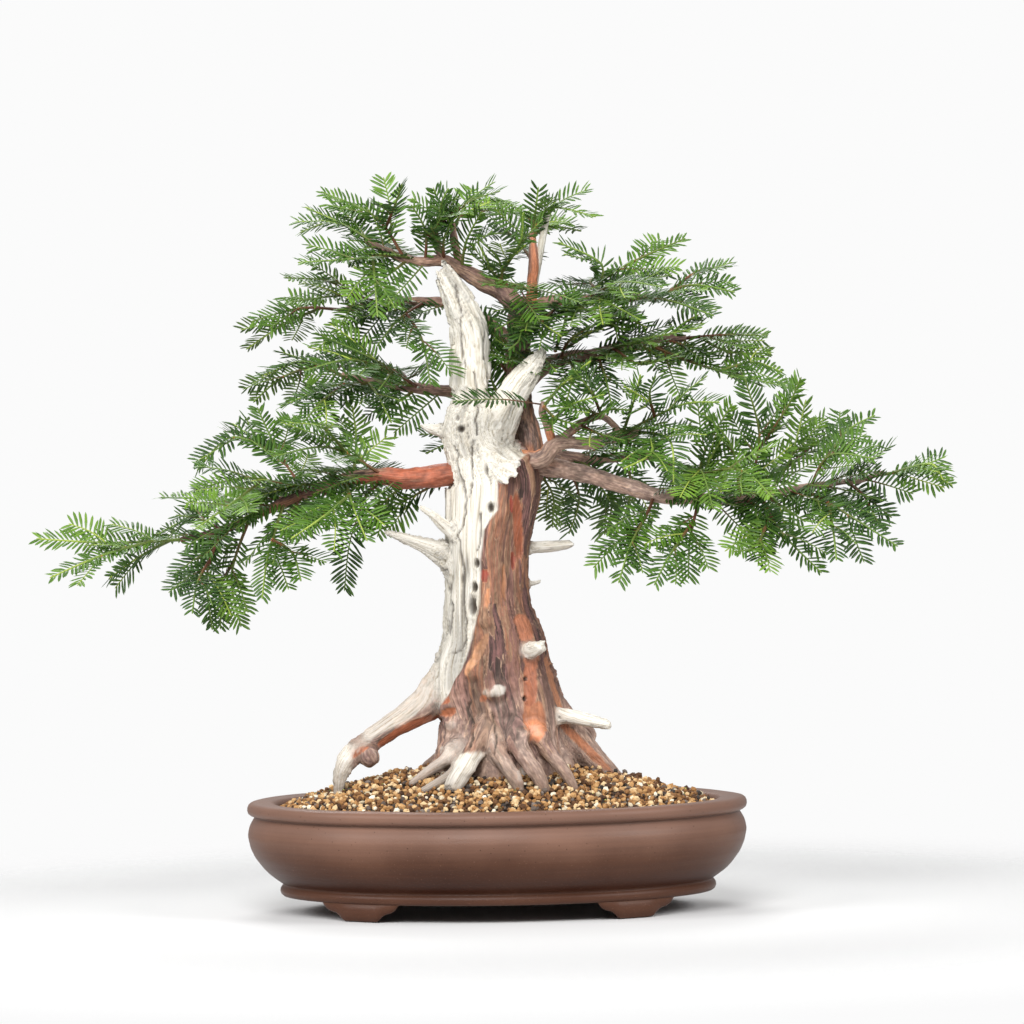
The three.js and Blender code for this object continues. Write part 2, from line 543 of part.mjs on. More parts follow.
// Leafy branchlets: each holds a main shoot from the wood and side shoots that leave it.
const BRANCHLETS = {
  low_left_tip: [
    [[-246, -34, 300], [-303, -40, 299], [-359, -46, 303]],
    [[-272, -37, 300], [-310, -62, 289], [-346, -82, 274]],
    [[-256, -35, 300], [-282, -10, 287], [-307, 6, 270]],
  ],
  low_left_hang_a: [
    [[-215, -32, 308], [-231, -58, 273], [-230, -70, 232]],
    [[-228, -50, 284], [-240, -84, 268], [-243, -104, 246]],
  ],
  low_left_hang_b: [
    [[-193, -31, 317], [-208, -30, 272], [-202, -24, 232]],
    [[-204, -30, 284], [-219, -8, 259], [-217, 8, 236]],
  ],
  low_left_hang_c: [
    [[-165, -29, 331], [-177, -66, 288], [-181, -88, 256]],
    [[-174, -56, 300], [-157, -88, 290], [-150, -112, 270]],
  ],
  low_left_back_tip: [
    [[-183, -30, 321], [-223, 10, 331], [-266, 36, 333]],
    [[-214, 2, 329], [-246, 38, 316], [-274, 64, 302]],
  ],
  low_left_shoulder: [
    [[-145, -27, 337], [-191, -60, 349], [-232, -88, 341]],
    [[-182, -50, 347], [-203, -98, 330], [-228, -150, 312]],
  ],
  low_left_single: [[[-93, -19, 348], [-113, -8, 301], [-119, -10, 259]]],
  low_left_bright: [
    [[-117, -24, 346], [-110, -62, 326], [-99, -84, 300]],
    [[-112, -48, 334], [-131, -94, 319], [-155, -128, 303]],
  ],
  low_left_upright: [
    [[-149, -28, 335], [-172, 14, 370], [-188, 34, 403]],
    [[-166, 4, 360], [-188, 50, 378], [-200, 74, 396]],
    [[-168, 8, 365], [-208, 12, 381], [-236, 24, 356]],
  ],
  low_left_dark: [
    [[-111, -24, 347], [-108, -4, 377], [-111, 6, 403]],
  ],
  low_left_front: [
    [[-85, -20, 348], [-127, -64, 372], [-169, -98, 366]],
    [[-116, -50, 368], [-132, -92, 388], [-155, -122, 392]],
  ],
  low_left_back_a: [
    [[-157, -28, 333], [-180, 46, 330], [-220, 100, 317]],
    [[-176, 36, 330], [-158, 92, 322], [-163, 140, 309]],
  ],
  low_left_back_b: [
    [[-101, -22, 348], [-119, 56, 353], [-159, 118, 348]],
    [[-117, 46, 353], [-99, 106, 350], [-100, 154, 336]],
  ],
  mid_left_tip: [
    [[-118, 40, 429], [-153, 30, 441], [-197, 20, 422]],
    [[-140, 34, 438], [-170, 56, 428], [-192, 70, 410]],
  ],
  mid_left_low: [
    [[-89, 34, 423], [-129, 4, 420], [-166, -18, 405]],
    [[-117, 12, 421], [-135, -20, 408], [-150, -40, 390]],
    [[-98, 28, 422], [-90, -4, 412], [-80, -22, 392]],
  ],
  mid_left_front: [
    [[-57, 25, 417], [-92, -24, 441], [-136, -52, 462]],
    [[-76, -4, 431], [-111, -48, 441], [-144, -78, 433]],
  ],
  mid_left_back: [
    [[-65, 27, 417], [-74, 84, 432], [-98, 140, 436]],
    [[-70, 60, 427], [-118, 92, 440], [-162, 130, 440]],
  ],
  upper_left_tip: [
    [[-117, 44, 482], [-153, 36, 484], [-197, 28, 473]],
    [[-137, 40, 483], [-168, 60, 471], [-197, 72, 453]],
  ],
  upper_left_front: [
    [[-85, 49, 487], [-116, 10, 493], [-157, -20, 488]],
    [[-104, 22, 490], [-127, -8, 504], [-161, -34, 507]],
  ],
  upper_left_inner: [
    [[-52, 46, 488], [-72, 6, 474], [-89, -18, 453]],
    [[-68, 16, 478], [-54, -12, 456], [-48, -26, 422]],
  ],
  upper_left_back: [
    [[-64, 48, 488], [-86, 98, 497], [-120, 142, 499]],
  ],
  crown_left_tip: [
    [[-83, -10, 528], [-110, -22, 546], [-143, -30, 562]],
    [[-98, -16, 539], [-123, 6, 552], [-150, 24, 545]],
  ],
  crown_left_up: [
    [[-68, -4, 522], [-90, -8, 555], [-131, -6, 575]],
    [[-82, -8, 546], [-74, -32, 562], [-68, -46, 578]],
  ],
  crown_left_low: [
    [[-75, -7, 525], [-102, -44, 521], [-148, -66, 518]],
    [[-94, -32, 522], [-90, -58, 504], [-88, -70, 476]],
  ],
  crown_left_back: [
    [[-59, 0, 520], [-80, 52, 534], [-113, 96, 540]],
  ],
  crown_top_a: [
    [[-42, 1, 536], [-38, -6, 562], [-32, -10, 575]],
    [[-40, -2, 548], [-14, -28, 565], [8, -42, 572]],
  ],
  crown_top_b: [
    [[-29, 10, 544], [-16, 24, 570], [-13, 32, 577]],
    [[-24, 16, 556], [2, 40, 567], [18, 56, 576]],
  ],
  crown_front: [
    [[9, 17, 494], [9, -28, 517], [-8, -52, 535]],
    [[9, -12, 511], [25, -44, 532], [28, -58, 553]],
    [[9, 6, 501], [38, -26, 494], [-3, -58, 499]],
  ],
  crown_right: [
    [[35, 16, 527], [45, 4, 554], [87, -6, 550]],
    [[38, 13, 537], [34, 34, 562], [60, 44, 574]],
    [[35, 30, 556], [14, 60, 568], [-7, 82, 564]],
  ],
  crown_back: [
    [[33, 18, 518], [17, 74, 542], [-7, 120, 542]],
    [[24, 50, 533], [50, 92, 548], [75, 128, 546]],
  ],
  upper_right_tip: [
    [[133, 12, 487], [161, 0, 497], [194, -10, 491]],
    [[145, 6, 492], [169, 18, 509], [194, 28, 512]],
  ],
  upper_right_up: [
    [[81, 20, 487], [91, 14, 514], [58, 6, 532]],
    [[88, 16, 503], [122, 32, 520], [157, 44, 535]],
  ],
  upper_right_front: [
    [[69, 21, 486], [88, -34, 486], [118, -70, 469]],
    [[79, -6, 486], [104, -52, 499], [135, -84, 494]],
  ],
  upper_right_mid: [
    [[113, 16, 488], [144, -24, 484], [176, -44, 472]],
  ],
  upper_right_back: [
    [[73, 20, 487], [106, 80, 500], [149, 126, 508]],
    [[89, 50, 494], [82, 100, 504], [95, 148, 508]],
  ],
  mid_right_tip: [
    [[157, 34, 455], [189, 26, 457], [221, 20, 456]],
    [[169, 32, 455], [192, 52, 444], [226, 66, 442]],
  ],
  mid_right_front: [
    [[86, 32, 443], [119, -24, 453], [166, -52, 462]],
    [[100, 6, 448], [119, -34, 434], [147, -60, 441]],
  ],
  mid_right_low: [
    [[121, 34, 453], [168, 10, 433], [245, -6, 412]],
    [[184, 6, 429], [211, 28, 435], [234, 44, 427]],
  ],
  mid_right_back: [
    [[96, 33, 446], [130, 90, 447], [173, 140, 440]],
  ],
  mid_right_face: [[[56, 29, 438], [68, -18, 458], [117, -46, 480]]],
  front_sprig: [
    [[42, -29, 402], [7, -50, 408], [-28, -64, 407]],
  ],
  low_right_tip: [
    [[306, -31, 344], [340, -30, 347], [355, -28, 339]],
    [[318, -32, 348], [346, -54, 353], [358, -70, 348]],
  ],
  low_right_top: [
    [[254, -29, 335], [268, -48, 360], [301, -62, 357]],
    [[262, -38, 350], [284, -16, 379], [305, -4, 390]],
  ],
  low_right_upright: [
    [[201, -25, 326], [213, -30, 373], [202, -38, 420]],
    [[211, -30, 365], [233, -52, 396], [244, -64, 420]],
  ],
  low_right_fan: [
    [[217, -26, 329], [239, 12, 356], [253, 28, 402]],
    [[235, 4, 352], [265, 40, 371], [291, 60, 381]],
  ],
  low_right_drop_a: [
    [[245, -28, 334], [274, -60, 317], [316, -84, 289]],
    [[267, -50, 322], [267, -86, 301], [268, -104, 280]],
    [[258, -42, 326], [286, -4, 320], [312, 30, 304]],
  ],
  low_right_drop_b: [
    [[213, -26, 328], [227, -52, 301], [257, -70, 269]],
    [[220, -40, 313], [207, -74, 290], [190, -92, 286]],
  ],
  low_right_hang_a: [
    [[165, -20, 327], [156, -44, 294], [154, -56, 266]],
    [[160, -34, 310], [139, -68, 283], [127, -84, 262]],
  ],
  low_right_hang_b: [
    [[130, -14, 330], [117, -40, 307], [86, -56, 286]],
    [[121, -32, 314], [108, -62, 290], [99, -74, 264]],
  ],
  low_right_front_a: [
    [[157, -18, 328], [164, -74, 350], [172, -112, 321]],
    [[162, -54, 346], [194, -102, 350], [216, -150, 330]],
  ],
  low_right_front_b: [
    [[116, -36, 381], [140, -78, 374], [142, -100, 343]],
    [[129, -56, 378], [124, -96, 363], [104, -118, 353]],
  ],
  low_right_inner: [
    [[104, -32, 378], [149, -60, 401], [178, -82, 403]],
    [[130, -48, 391], [125, -72, 410], [129, -86, 423]],
  ],
  low_right_back_a: [
    [[181, -22, 326], [204, 44, 324], [243, 96, 316]],
    [[195, 20, 325], [179, 84, 340], [187, 134, 345]],
  ],
  low_right_back_b: [
    [[132, 68, 360], [150, 96, 346], [168, 128, 318]],
  ],
  low_back: [
    [[4, 78, 366], [7, 116, 375], [23, 154, 364]],
    [[5, 92, 370], [-26, 128, 375], [-54, 152, 365]],
  ],
};

// A line of close samples along a route, with the distance run so far at each.
function sampled(points) {
  const perSpan = 12;
  const count = (points.length - 1) * perSpan;
  const samples = [];
  for (let i = 0; i <= count; i += 1) samples.push(along(points, i / perSpan));
  const runs = [0];
  for (let i = 1; i <= count; i += 1) {
    runs.push(runs[i - 1] + vector(samples[i]).distanceTo(vector(samples[i - 1])));
  }
  return { points, samples, runs, perSpan, length: runs[count] };
}

function placeAt(line, run) {
  let i = 1;
  while (i < line.runs.length - 1 && line.runs[i] < run) i += 1;
  const part = (run - line.runs[i - 1]) / (line.runs[i] - line.runs[i - 1]);
  return Math.min(line.points.length - 1, (i - 1 + part) / line.perSpan);
}

// The place nearest to a point on the middle lines of what carries a shoot.
function nearest(middleLines, point) {
  const stretches = middleLines.flatMap((line) => line.slice(1).map((end, i) => new THREE.Line3(line[i], end)));
  const places = stretches.map((piece) => piece.closestPointToPoint(point, true, new THREE.Vector3()));
  return places.reduce((best, place) => (place.distanceTo(point) < best.distanceTo(point) ? place : best));
}

// The middles of a limb's rings, from its root to its tip.
function ringMiddles({ route, steps }) {
  const middles = [];
  for (let i = 0; i <= steps; i += 1) middles.push(vector(along(route, (i / steps) * (route.length - 1))));
  return middles;
}

// Nearest approach of two straight stretches, as the distance and the place on each.
function approach(p, q, r, s) {
  const first = q.clone().sub(p);
  const second = s.clone().sub(r);
  const between = p.clone().sub(r);
  const a = first.dot(first);
  const e = second.dot(second);
  const f = second.dot(between);
  const c = first.dot(between);
  const b = first.dot(second);
  const slope = a * e - b * b;
  let t = slope > 1e-9 ? THREE.MathUtils.clamp((b * f - c * e) / slope, 0, 1) : 0;
  const u = THREE.MathUtils.clamp((b * t + f) / e, 0, 1);
  t = THREE.MathUtils.clamp((b * u - c) / a, 0, 1);
  const distance = p.clone().addScaledVector(first, t).distanceTo(r.clone().addScaledVector(second, u));
  return { distance, t, u };
}

// A tapered stretch that others keep clear of: two ends, the half width at each, and its owner.
function stretch(from, to, startWidth, endWidth, owner) {
  const middle = from.clone().add(to).multiplyScalar(0.5);
  const reach = from.distanceTo(to) / 2 + Math.max(startWidth, endWidth);
  return { from, to, startWidth, endWidth, owner, middle, reach };
}

function clears(candidate, others) {
  for (const other of others) {
    const far = candidate.middle.distanceTo(other.middle) > candidate.reach + other.reach + NEEDLE_GAP;
    if (!far && other.owner !== candidate.owner) {
      const { distance, t, u } = approach(candidate.from, candidate.to, other.from, other.to);
      const own = THREE.MathUtils.lerp(candidate.startWidth, candidate.endWidth, t);
      const their = THREE.MathUtils.lerp(other.startWidth, other.endWidth, u);
      if (distance < own + their + NEEDLE_GAP) return false;
    }
  }
  return true;
}

const FRONT_FACE = new THREE.Vector3(0, -0.6, 0.8);
const BACK_FACE = new THREE.Vector3(0, 0.55, 0.83);

// The flat of a shoot looks up and out, rolled a little from shoot to shoot.
function facingOf(line, number) {
  const middle = line.samples[Math.floor(line.samples.length / 2)];
  const facing = (middle[1] > 40 ? BACK_FACE : FRONT_FACE).clone();
  const roll = THREE.MathUtils.degToRad(44 * (draw(number, 3) - 0.5));
  const { forward } = frameAt(line.points, (line.points.length - 1) / 2, facing);
  return facing.applyAxisAngle(forward, roll);
}

// Stations along a shoot: far apart on the bare wood, then one needle pitch apart out to the tip.
function stationsOf(line, isMain) {
  const bare = line.length * (isMain ? BARE_MAIN : BARE_SIDE);
  const bareCount = Math.max(1, Math.round(bare / BARE_SEGMENT));
  const needleCount = Math.max(3, Math.round((line.length - bare) / NEEDLE_PITCH));
  const runs = [];
  for (let i = 0; i < bareCount; i += 1) runs.push((bare * i) / bareCount);
  for (let i = 0; i <= needleCount; i += 1) {
    runs.push(bare + ((line.length - bare) * i) / needleCount);
  }
  return { runs, bareCount };
}

function layShoot(middleLines, points, number, isMain) {
  const start = nearest(middleLines, vector(points[0]));
  const line = sampled([start.toArray(), ...points.slice(1)]);
  const facing = facingOf(line, number);
  const { runs, bareCount } = stationsOf(line, isMain);
  const stations = runs.map((run) => {
    const place = placeAt(line, run);
    const width = THREE.MathUtils.lerp(isMain ? TWIG_BASE : TWIG_BASE * 0.75, TWIG_TIP, run / line.length);
    return { centre: vector(along(line.points, place)), width, ...frameAt(line.points, place, facing) };
  });
  return { line, stations, bareCount, number, needles: [] };
}

// The point of the needle that leaves one segment of a shoot on one side.
function needleTip(shoot, segment, side) {
  const [near, far] = [shoot.stations[segment], shoot.stations[segment + 1]];
  const share = (segment - shoot.bareCount) / (shoot.stations.length - 1 - shoot.bareCount);
  const chance = draw(shoot.number * 7 + segment, 5 + side);
  const shorter = 1 - 0.3 * share ** 3 - 0.25 * (1 - share) ** 4;
  const length = NEEDLE_LENGTH * shorter * (0.92 + 0.16 * chance);
  const spread = THREE.MathUtils.degToRad(NEEDLE_SPREAD - 26 * share ** 2 + 8 * (chance - 0.5));
  const lift = 0.1 + 0.24 * draw(segment, shoot.number + side);
  const root = near.centre.clone().add(far.centre).multiplyScalar(0.5);
  const tip = root.clone();
  tip.addScaledVector(near.across, side * length * Math.sin(spread));
  tip.addScaledVector(near.forward, length * Math.cos(spread));
  tip.addScaledVector(near.depth, length * lift);
  return { root, tip };
}

// Needles that would meet another needle, twig or limb are left off.
function growNeedles(shoot, obstacles, owner) {
  for (let segment = shoot.bareCount; segment < shoot.stations.length - 1; segment += 1) {
    for (const side of [-1, 1]) {
      const { root, tip } = needleTip(shoot, segment, side);
      const outside = root.clone().lerp(tip, 0.12);
      const space = stretch(outside, tip, NEEDLE_HALF_WIDTH, 0.2, owner);
      if (clears(space, obstacles)) {
        shoot.needles.push({ segment, side, tip });
        obstacles.push(space);
      }
    }
  }
}

// A three-sided twig; a needle is a pyramid raised from half of one side of a segment.
function shootGeometry(shoot) {
  const vertices = [];
  const faces = [];
  for (const { centre, across, depth, width } of shoot.stations) {
    vertices.push(centre.clone().addScaledVector(across, -0.87 * width).addScaledVector(depth, 0.5 * width));
    vertices.push(centre.clone().addScaledVector(across, 0.87 * width).addScaledVector(depth, 0.5 * width));
    vertices.push(centre.clone().addScaledVector(depth, -width));
  }
  const last = shoot.stations.length - 1;
  for (let segment = 0; segment < last; segment += 1) {
    const [left, right, low] = [3 * segment, 3 * segment + 1, 3 * segment + 2];
    const [leftNext, rightNext, lowNext] = [left + 3, right + 3, low + 3];
    faces.push([left, leftNext, rightNext], [left, rightNext, right]);
    faces.push([low, lowNext, leftNext], [right, rightNext, lowNext]);
    for (const [side, base] of [[-1, [left, low, leftNext]], [1, [right, lowNext, low]]]) {
      const needle = shoot.needles.find((item) => item.segment === segment && item.side === side);
      if (needle) {
        vertices.push(needle.tip);
        const tip = vertices.length - 1;
        base.forEach((corner, i) => faces.push([corner, base[(i + 1) % 3], tip]));
      } else {
        faces.push(base);
      }
    }
  }
  faces.push([0, 1, 2], [3 * last, 3 * last + 2, 3 * last + 1]);
  const geometry = new THREE.BufferGeometry();
  const flat = vertices.flatMap((vertex) => vertex.toArray());
  geometry.setAttribute('position', new THREE.BufferAttribute(new Float32Array(flat), 3));
  geometry.setIndex(faces.flat());
  return geometry;
}

// Trunk and limb stretches that the needles stay clear of.
function woodStretches() {
  const found = [];
  for (let i = 1; i < TRUNK_LEVELS.length; i += 1) {
    const [low, high] = [TRUNK_LEVELS[i - 1], TRUNK_LEVELS[i]];
    const from = new THREE.Vector3(low[1], low[2], low[0]);
    const to = new THREE.Vector3(high[1], high[2], high[0]);
    found.push(stretch(from, to, Math.max(low[3], low[4]), Math.max(high[3], high[4]), 'wood'));
  }
  for (const limb of WOOD) {
    for (let place = 0; place < limb.route.length - 1; place += 0.5) {
      const [near, far] = [along(limb.route, place), along(limb.route, place + 0.5)];
      found.push(stretch(vector(near), vector(far), near[3] + 0.4, far[3] + 0.4, 'wood'));
    }
  }
  return found;
}

function twigStretches(shoot, owner) {
  const found = [];
  for (let i = 1; i < shoot.stations.length; i += 1) {
    const [near, far] = [shoot.stations[i - 1], shoot.stations[i]];
    found.push(stretch(near.centre, far.centre, near.width, far.width, owner));
  }
  return found;
}

const woodMiddles = WOOD.map(ringMiddles);
const branchlets = Object.entries(BRANCHLETS).map(([name, routes], number) => {
  const shoots = [layShoot(woodMiddles, routes[0], 10 * number, true)];
  for (const route of routes.slice(1)) {
    const carriers = shoots.map((shoot) => shoot.stations.map((station) => station.centre));
    shoots.push(layShoot(carriers, route, 10 * number + shoots.length, false));
  }
  return { name, shoots };
});

const obstacles = woodStretches();
for (const { name, shoots } of branchlets) {
  shoots.forEach((shoot, i) => obstacles.push(...twigStretches(shoot, `${name} ${i}`)));
}
for (const { name, shoots } of branchlets) {
  shoots.forEach((shoot, i) => growNeedles(shoot, obstacles, `${name} ${i}`));
}

const woodClear = woodSolid(WOOD_CLEARANCE);

function branchletGeometry({ shoots }) {
  const whole = join(shoots.map((shoot) => toSolid(shootGeometry(shoot))));
  return fromSolid(largest(whole.subtract(woodClear)));
}

const part = new THREE.Group();

function addPiece(name, geometry, { color, roughness }) {
  const material = new THREE.MeshStandardMaterial({ color, roughness, metalness: 0, flatShading: true });
  const mesh = new THREE.Mesh(geometry, material);
  mesh.name = name;
  part.add(mesh);
}

const STONEWARE = { color: 0x5d4034, roughness: 0.62 };
const PLASTIC = { color: 0x23262a, roughness: 0.5 };
const SOIL = { color: 0xa98255, roughness: 0.95 };
const YEW_WOOD = { color: 0x9a6a52, roughness: 0.8 };
const FOLIAGE = { color: 0x3f6b35, roughness: 0.45 };

addPiece('pot', fromSolid(potSolid()), STONEWARE);
addPiece('drain_mesh_left', fromSolid(drainMeshSolid(-1)), PLASTIC);
addPiece('drain_mesh_right', fromSolid(drainMeshSolid(1)), PLASTIC);
addPiece('soil', fromSolid(soilSolid(woodClear)), SOIL);
addPiece('trunk', fromSolid(woodSolid(0)), YEW_WOOD);
for (const branchlet of branchlets) addPiece(branchlet.name, branchletGeometry(branchlet), FOLIAGE);

export default part;
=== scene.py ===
"""The looks of an English yew bonsai with old deadwood, in an oval unglazed stoneware pot.

The frame comes from the CAD model. Sizes in this file are millimetres, as in the CAD source, and the
meshes are written in metres. Each new surface is worked out with numpy over two parameters.
"""

import math
from functools import partial

import bpy
import numpy as np
from bpy.props import FloatProperty, FloatVectorProperty, IntProperty, PointerProperty
from mathutils import Matrix, Vector


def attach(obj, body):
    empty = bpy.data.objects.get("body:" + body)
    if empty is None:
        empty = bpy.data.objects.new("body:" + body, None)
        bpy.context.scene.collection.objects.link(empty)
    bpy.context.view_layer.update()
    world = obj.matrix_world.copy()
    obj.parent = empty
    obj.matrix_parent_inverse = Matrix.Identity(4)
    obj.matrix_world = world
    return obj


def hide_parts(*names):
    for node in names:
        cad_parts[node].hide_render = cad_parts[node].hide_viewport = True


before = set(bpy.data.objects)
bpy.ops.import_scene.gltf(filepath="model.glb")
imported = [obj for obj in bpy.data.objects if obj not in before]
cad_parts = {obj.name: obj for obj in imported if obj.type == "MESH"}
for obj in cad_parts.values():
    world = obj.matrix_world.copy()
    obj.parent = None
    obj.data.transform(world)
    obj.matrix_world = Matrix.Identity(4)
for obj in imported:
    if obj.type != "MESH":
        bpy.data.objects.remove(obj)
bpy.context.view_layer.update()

bl_info = {
    "name": "Yew Bonsai",
    "version": (1, 0, 0),
    "blender": (4, 5, 0),
    "location": "View3D > Sidebar > Bonsai",
    "description": "Builds a yew bonsai with deadwood, bark, needles, soil and a stoneware pot",
    "category": "Add Mesh",
}

MM = 0.001
BACK = np.array([0.0, 1.0, 0.0])
UP = np.array([0.0, 0.0, 1.0])
# A distance beyond any that is looked for
FAR = 9.0
# How many points are compared with a limb at a time, to spare memory
BATCH = 20000

# What the sizes and the colours among the settings share
DISTANCE = {"subtype": "DISTANCE", "unit": "LENGTH"}
COLOUR = {"subtype": "COLOR", "size": 3, "min": 0, "max": 1}

# Pot
POT_NARROWING = 48.0
STRAIGHT_REACH = 120.0
BAND_LINE = [(168, 14), (172, 14.2), (174.3, 16.5), (174.4, 19.5), (172.6, 22.3), (171.5, 23)]
BELLY_LINE = [(171.5, 23), (178, 27.5), (186, 34), (195.3, 47), (199.3, 61), (197.8, 70), (193.2, 78)]
LIP_LINE = [(193.2, 78), (197.6, 78.9), (199.8, 81), (200, 85), (198.2, 87.9), (194, 89), (186, 88.8),
    (179.5, 88.2), (177, 86), (176.5, 82)]
INSIDE_LINE = [(176.5, 82), (180.5, 68), (181, 56), (177, 42), (169, 31), (158, 26)]
FLOOR_TOP = 26.0
SOLE_HEIGHT = 14.0
FOOT_MIDDLE = 108.0
FOOT_LINE = [(0, 0), (11, 0), (14, 0.8), (17, 4), (20, 6.2), (24, 7.4), (27.5, 9.6), (30, 13), (32, 16)]
FOOT_WALL = (151.0, 170.0)
DRAIN_PLACE = 75.0
DRAIN_RADIUS = 9.0
POT_COLUMNS = 176

# Soil: the mound's reach, its edge and how much higher its middle is
SOIL_REACH = 174.0
SOIL_EDGE = 83.0
SOIL_MOUND = 33.0
BED_COLUMNS = 96
# How far a grain strays from the net, as a share of the net's spacing
JITTER = 0.34
# Kinds of grain: name, from and to as shares of the draw, least squash
GRAIN_KINDS = [("akadama_grains", 0.0, 0.8, 0.75), ("pumice_grains", 0.8, 0.87, 0.7),
    ("lava_grains", 0.87, 1.01, 0.65)]

# The trunk's middle line: x, y, height, half width, half depth
TRUNK = [
    (4, 4, 58, 46, 42), (4, 3, 88, 60, 54), (4, 2, 112, 57, 50), (4, 1, 134, 51, 44),
    (4, 0, 158, 48.5, 41), (-2, 0, 185, 48.5, 40), (-2, 0, 214, 42, 37), (-5, 0, 240, 35.5, 34),
    (-5, 0, 266, 33, 32), (-5, 0, 292, 33.5, 31), (-2, 0, 318, 36, 32), (0, 1, 343, 38, 31),
    (-8, 0, 362, 30, 25), (-16, -3, 384, 23.5, 19), (-12, -4, 404, 20, 14),
]
TRUNK_FLUTES = 7
FLUTE_SHARE = 0.045
# How far the flutes turn round the trunk along its length, in radians
FLUTE_TWIST = 3.5
# How fast a limb's share falls off, and how lumpy the roots are
LIMB_BLEND = 9.0
ROOT_LUMPS = 0.16

# Limbs: each point is x, y, z and half width, with half depth after it where the wood is flattened
DEADWOOD = {
    "spar": [(-10, -2, 372, 26, 19), (-15, -3, 392, 19, 15), (-16, -4, 416, 14.5, 12),
        (-15, -4, 440, 16, 11), (-16, -4, 463, 15, 10), (-25, -4, 487, 12, 8), (-34, -4, 505, 9, 6),
        (-38, -4, 513, 7, 4)],
    "right_lobe": [(-2, -6, 376, 17, 14), (12, -8, 402, 13, 10), (25, -10, 421, 11.5, 7.5),
        (35, -12, 434, 8.6, 5), (42, -12, 446, 3, 2.2)],
    "left_stub": [(-22, 0, 374, 8, 7), (-40, -3, 383, 6, 5), (-50, -6, 386, 4, 3.4),
        (-57, -8, 389, 1.2, 1.2)],
    "high_left_snag": [(-18, -12, 290, 8, 6), (-34, -20, 305, 6, 5), (-46, -27, 316, 4.2, 3.8),
        (-56, -31, 323, 2.6, 2.2)],
    "long_left_snag": [(-20, -2, 273, 18, 12), (-40, -7, 285, 12, 8), (-55, -11, 292, 7, 5.5),
        (-70, -14, 298, 5, 4.4), (-84, -18, 303, 3.2, 2.6)],
    "right_snag": [(12, 6, 287, 5.5), (36, 9, 289, 5), (50, 11, 290, 4.6), (62, 12, 291, 3.6)],
    "right_peg": [(14, 4, 259, 3.6), (30, 8, 260, 3), (36, 10, 261, 2.6)],
    "torn_shield": [(-6, -16, 362, 8, 7), (4, -24, 358, 8, 6), (13, -31, 357, 5.4, 3),
        (23, -37, 357, 3.6, 1.8)],
    "shield_low": [(3, -23, 357, 6), (12, -32, 351, 5, 2.8), (20, -38, 348, 3.4, 1.8)],
    "shield_foot": [(2, -22, 355, 6), (8, -31, 347, 4.6, 2.8), (12, -37, 341, 3.2, 1.8)],
    "cut_stub": [(22, -18, 207, 8), (31, -33, 209, 6.8, 6.2), (38, -42, 213, 6.4, 5.2)],
    "white_root_snag": [(30, -10, 155, 8, 6), (56, -14, 154, 6.4, 5), (76, -17, 150, 5.6, 4.4),
        (91, -20, 147, 4.2, 3)],
    "leader_snag": [(33, 22, 484, 3.2), (40, 18, 520, 3.3), (47, 14, 556, 3.2)],
}

ROOTS = {
    "leg": [(-20, 0, 196, 24, 18), (-42, -4, 176, 20, 15), (-60, -8, 162, 14, 11),
        (-82, -13, 149, 10.5, 9), (-102, -17, 136, 9.5, 8.5), (-116, -19, 125, 9, 8),
        (-124, -20, 110, 6.5, 6), (-126, -20, 90, 4, 4)],
    "leg_burl": [(-108, -18, 134, 8), (-101, -22, 125, 8.5), (-97, -24, 119, 5)],
    "right_flare": [(28, 4, 176, 22, 18), (46, 4, 150, 18, 15), (66, 5, 129, 13, 11),
        (84, 7, 112, 9, 8), (99, 9, 98, 6, 6), (106, 10, 88, 3.5)],
    "white_cut_root": [(-8, -34, 148, 9), (-16, -46, 132, 8.6), (-25, -58, 118, 8.2), (-32, -66, 107, 7.6),
        (-36, -70, 101, 6.6)],
    "front_root": [(-3, -33, 147, 9), (0, -45, 132, 8), (7, -56, 120, 7.2), (14, -65, 109, 6.2),
        (19, -71, 98, 4.6)],
    "front_right_root": [(14, -31, 150, 9), (18, -45, 134, 7.8), (26, -57, 121, 7), (34, -66, 109, 6.2),
        (39, -72, 97, 4.6)],
    "dark_root": [(30, -23, 150, 9), (38, -37, 133, 7), (48, -49, 120, 6), (57, -58, 108, 5),
        (63, -63, 97, 3.4)],
    "left_root": [(-24, -20, 134, 12), (-38, -32, 123, 6.5), (-54, -42, 114, 4.8), (-69, -50, 104, 3)],
    "low_left_root": [(-20, -30, 124, 10), (-34, -46, 112, 6), (-50, -58, 104, 4.4), (-65, -64, 97, 3)],
    "back_left_root": [(-20, 26, 140, 13), (-38, 46, 122, 9), (-56, 62, 108, 6.5), (-70, 74, 95, 4)],
    "back_root": [(4, 28, 160, 13), (6, 52, 132, 10), (12, 72, 111, 7), (16, 88, 94, 4)],
    "back_right_root": [(28, 22, 158, 12), (50, 40, 130, 9), (70, 56, 110, 6.5), (86, 66, 94, 4)],
    "curled_root": [(42, 12, 146, 5), (58, 22, 138, 4), (68, 27, 144, 3.6), (78, 28, 139, 3.4),
        (75, 25, 128, 3.2), (66, 16, 120, 3.2)],
}

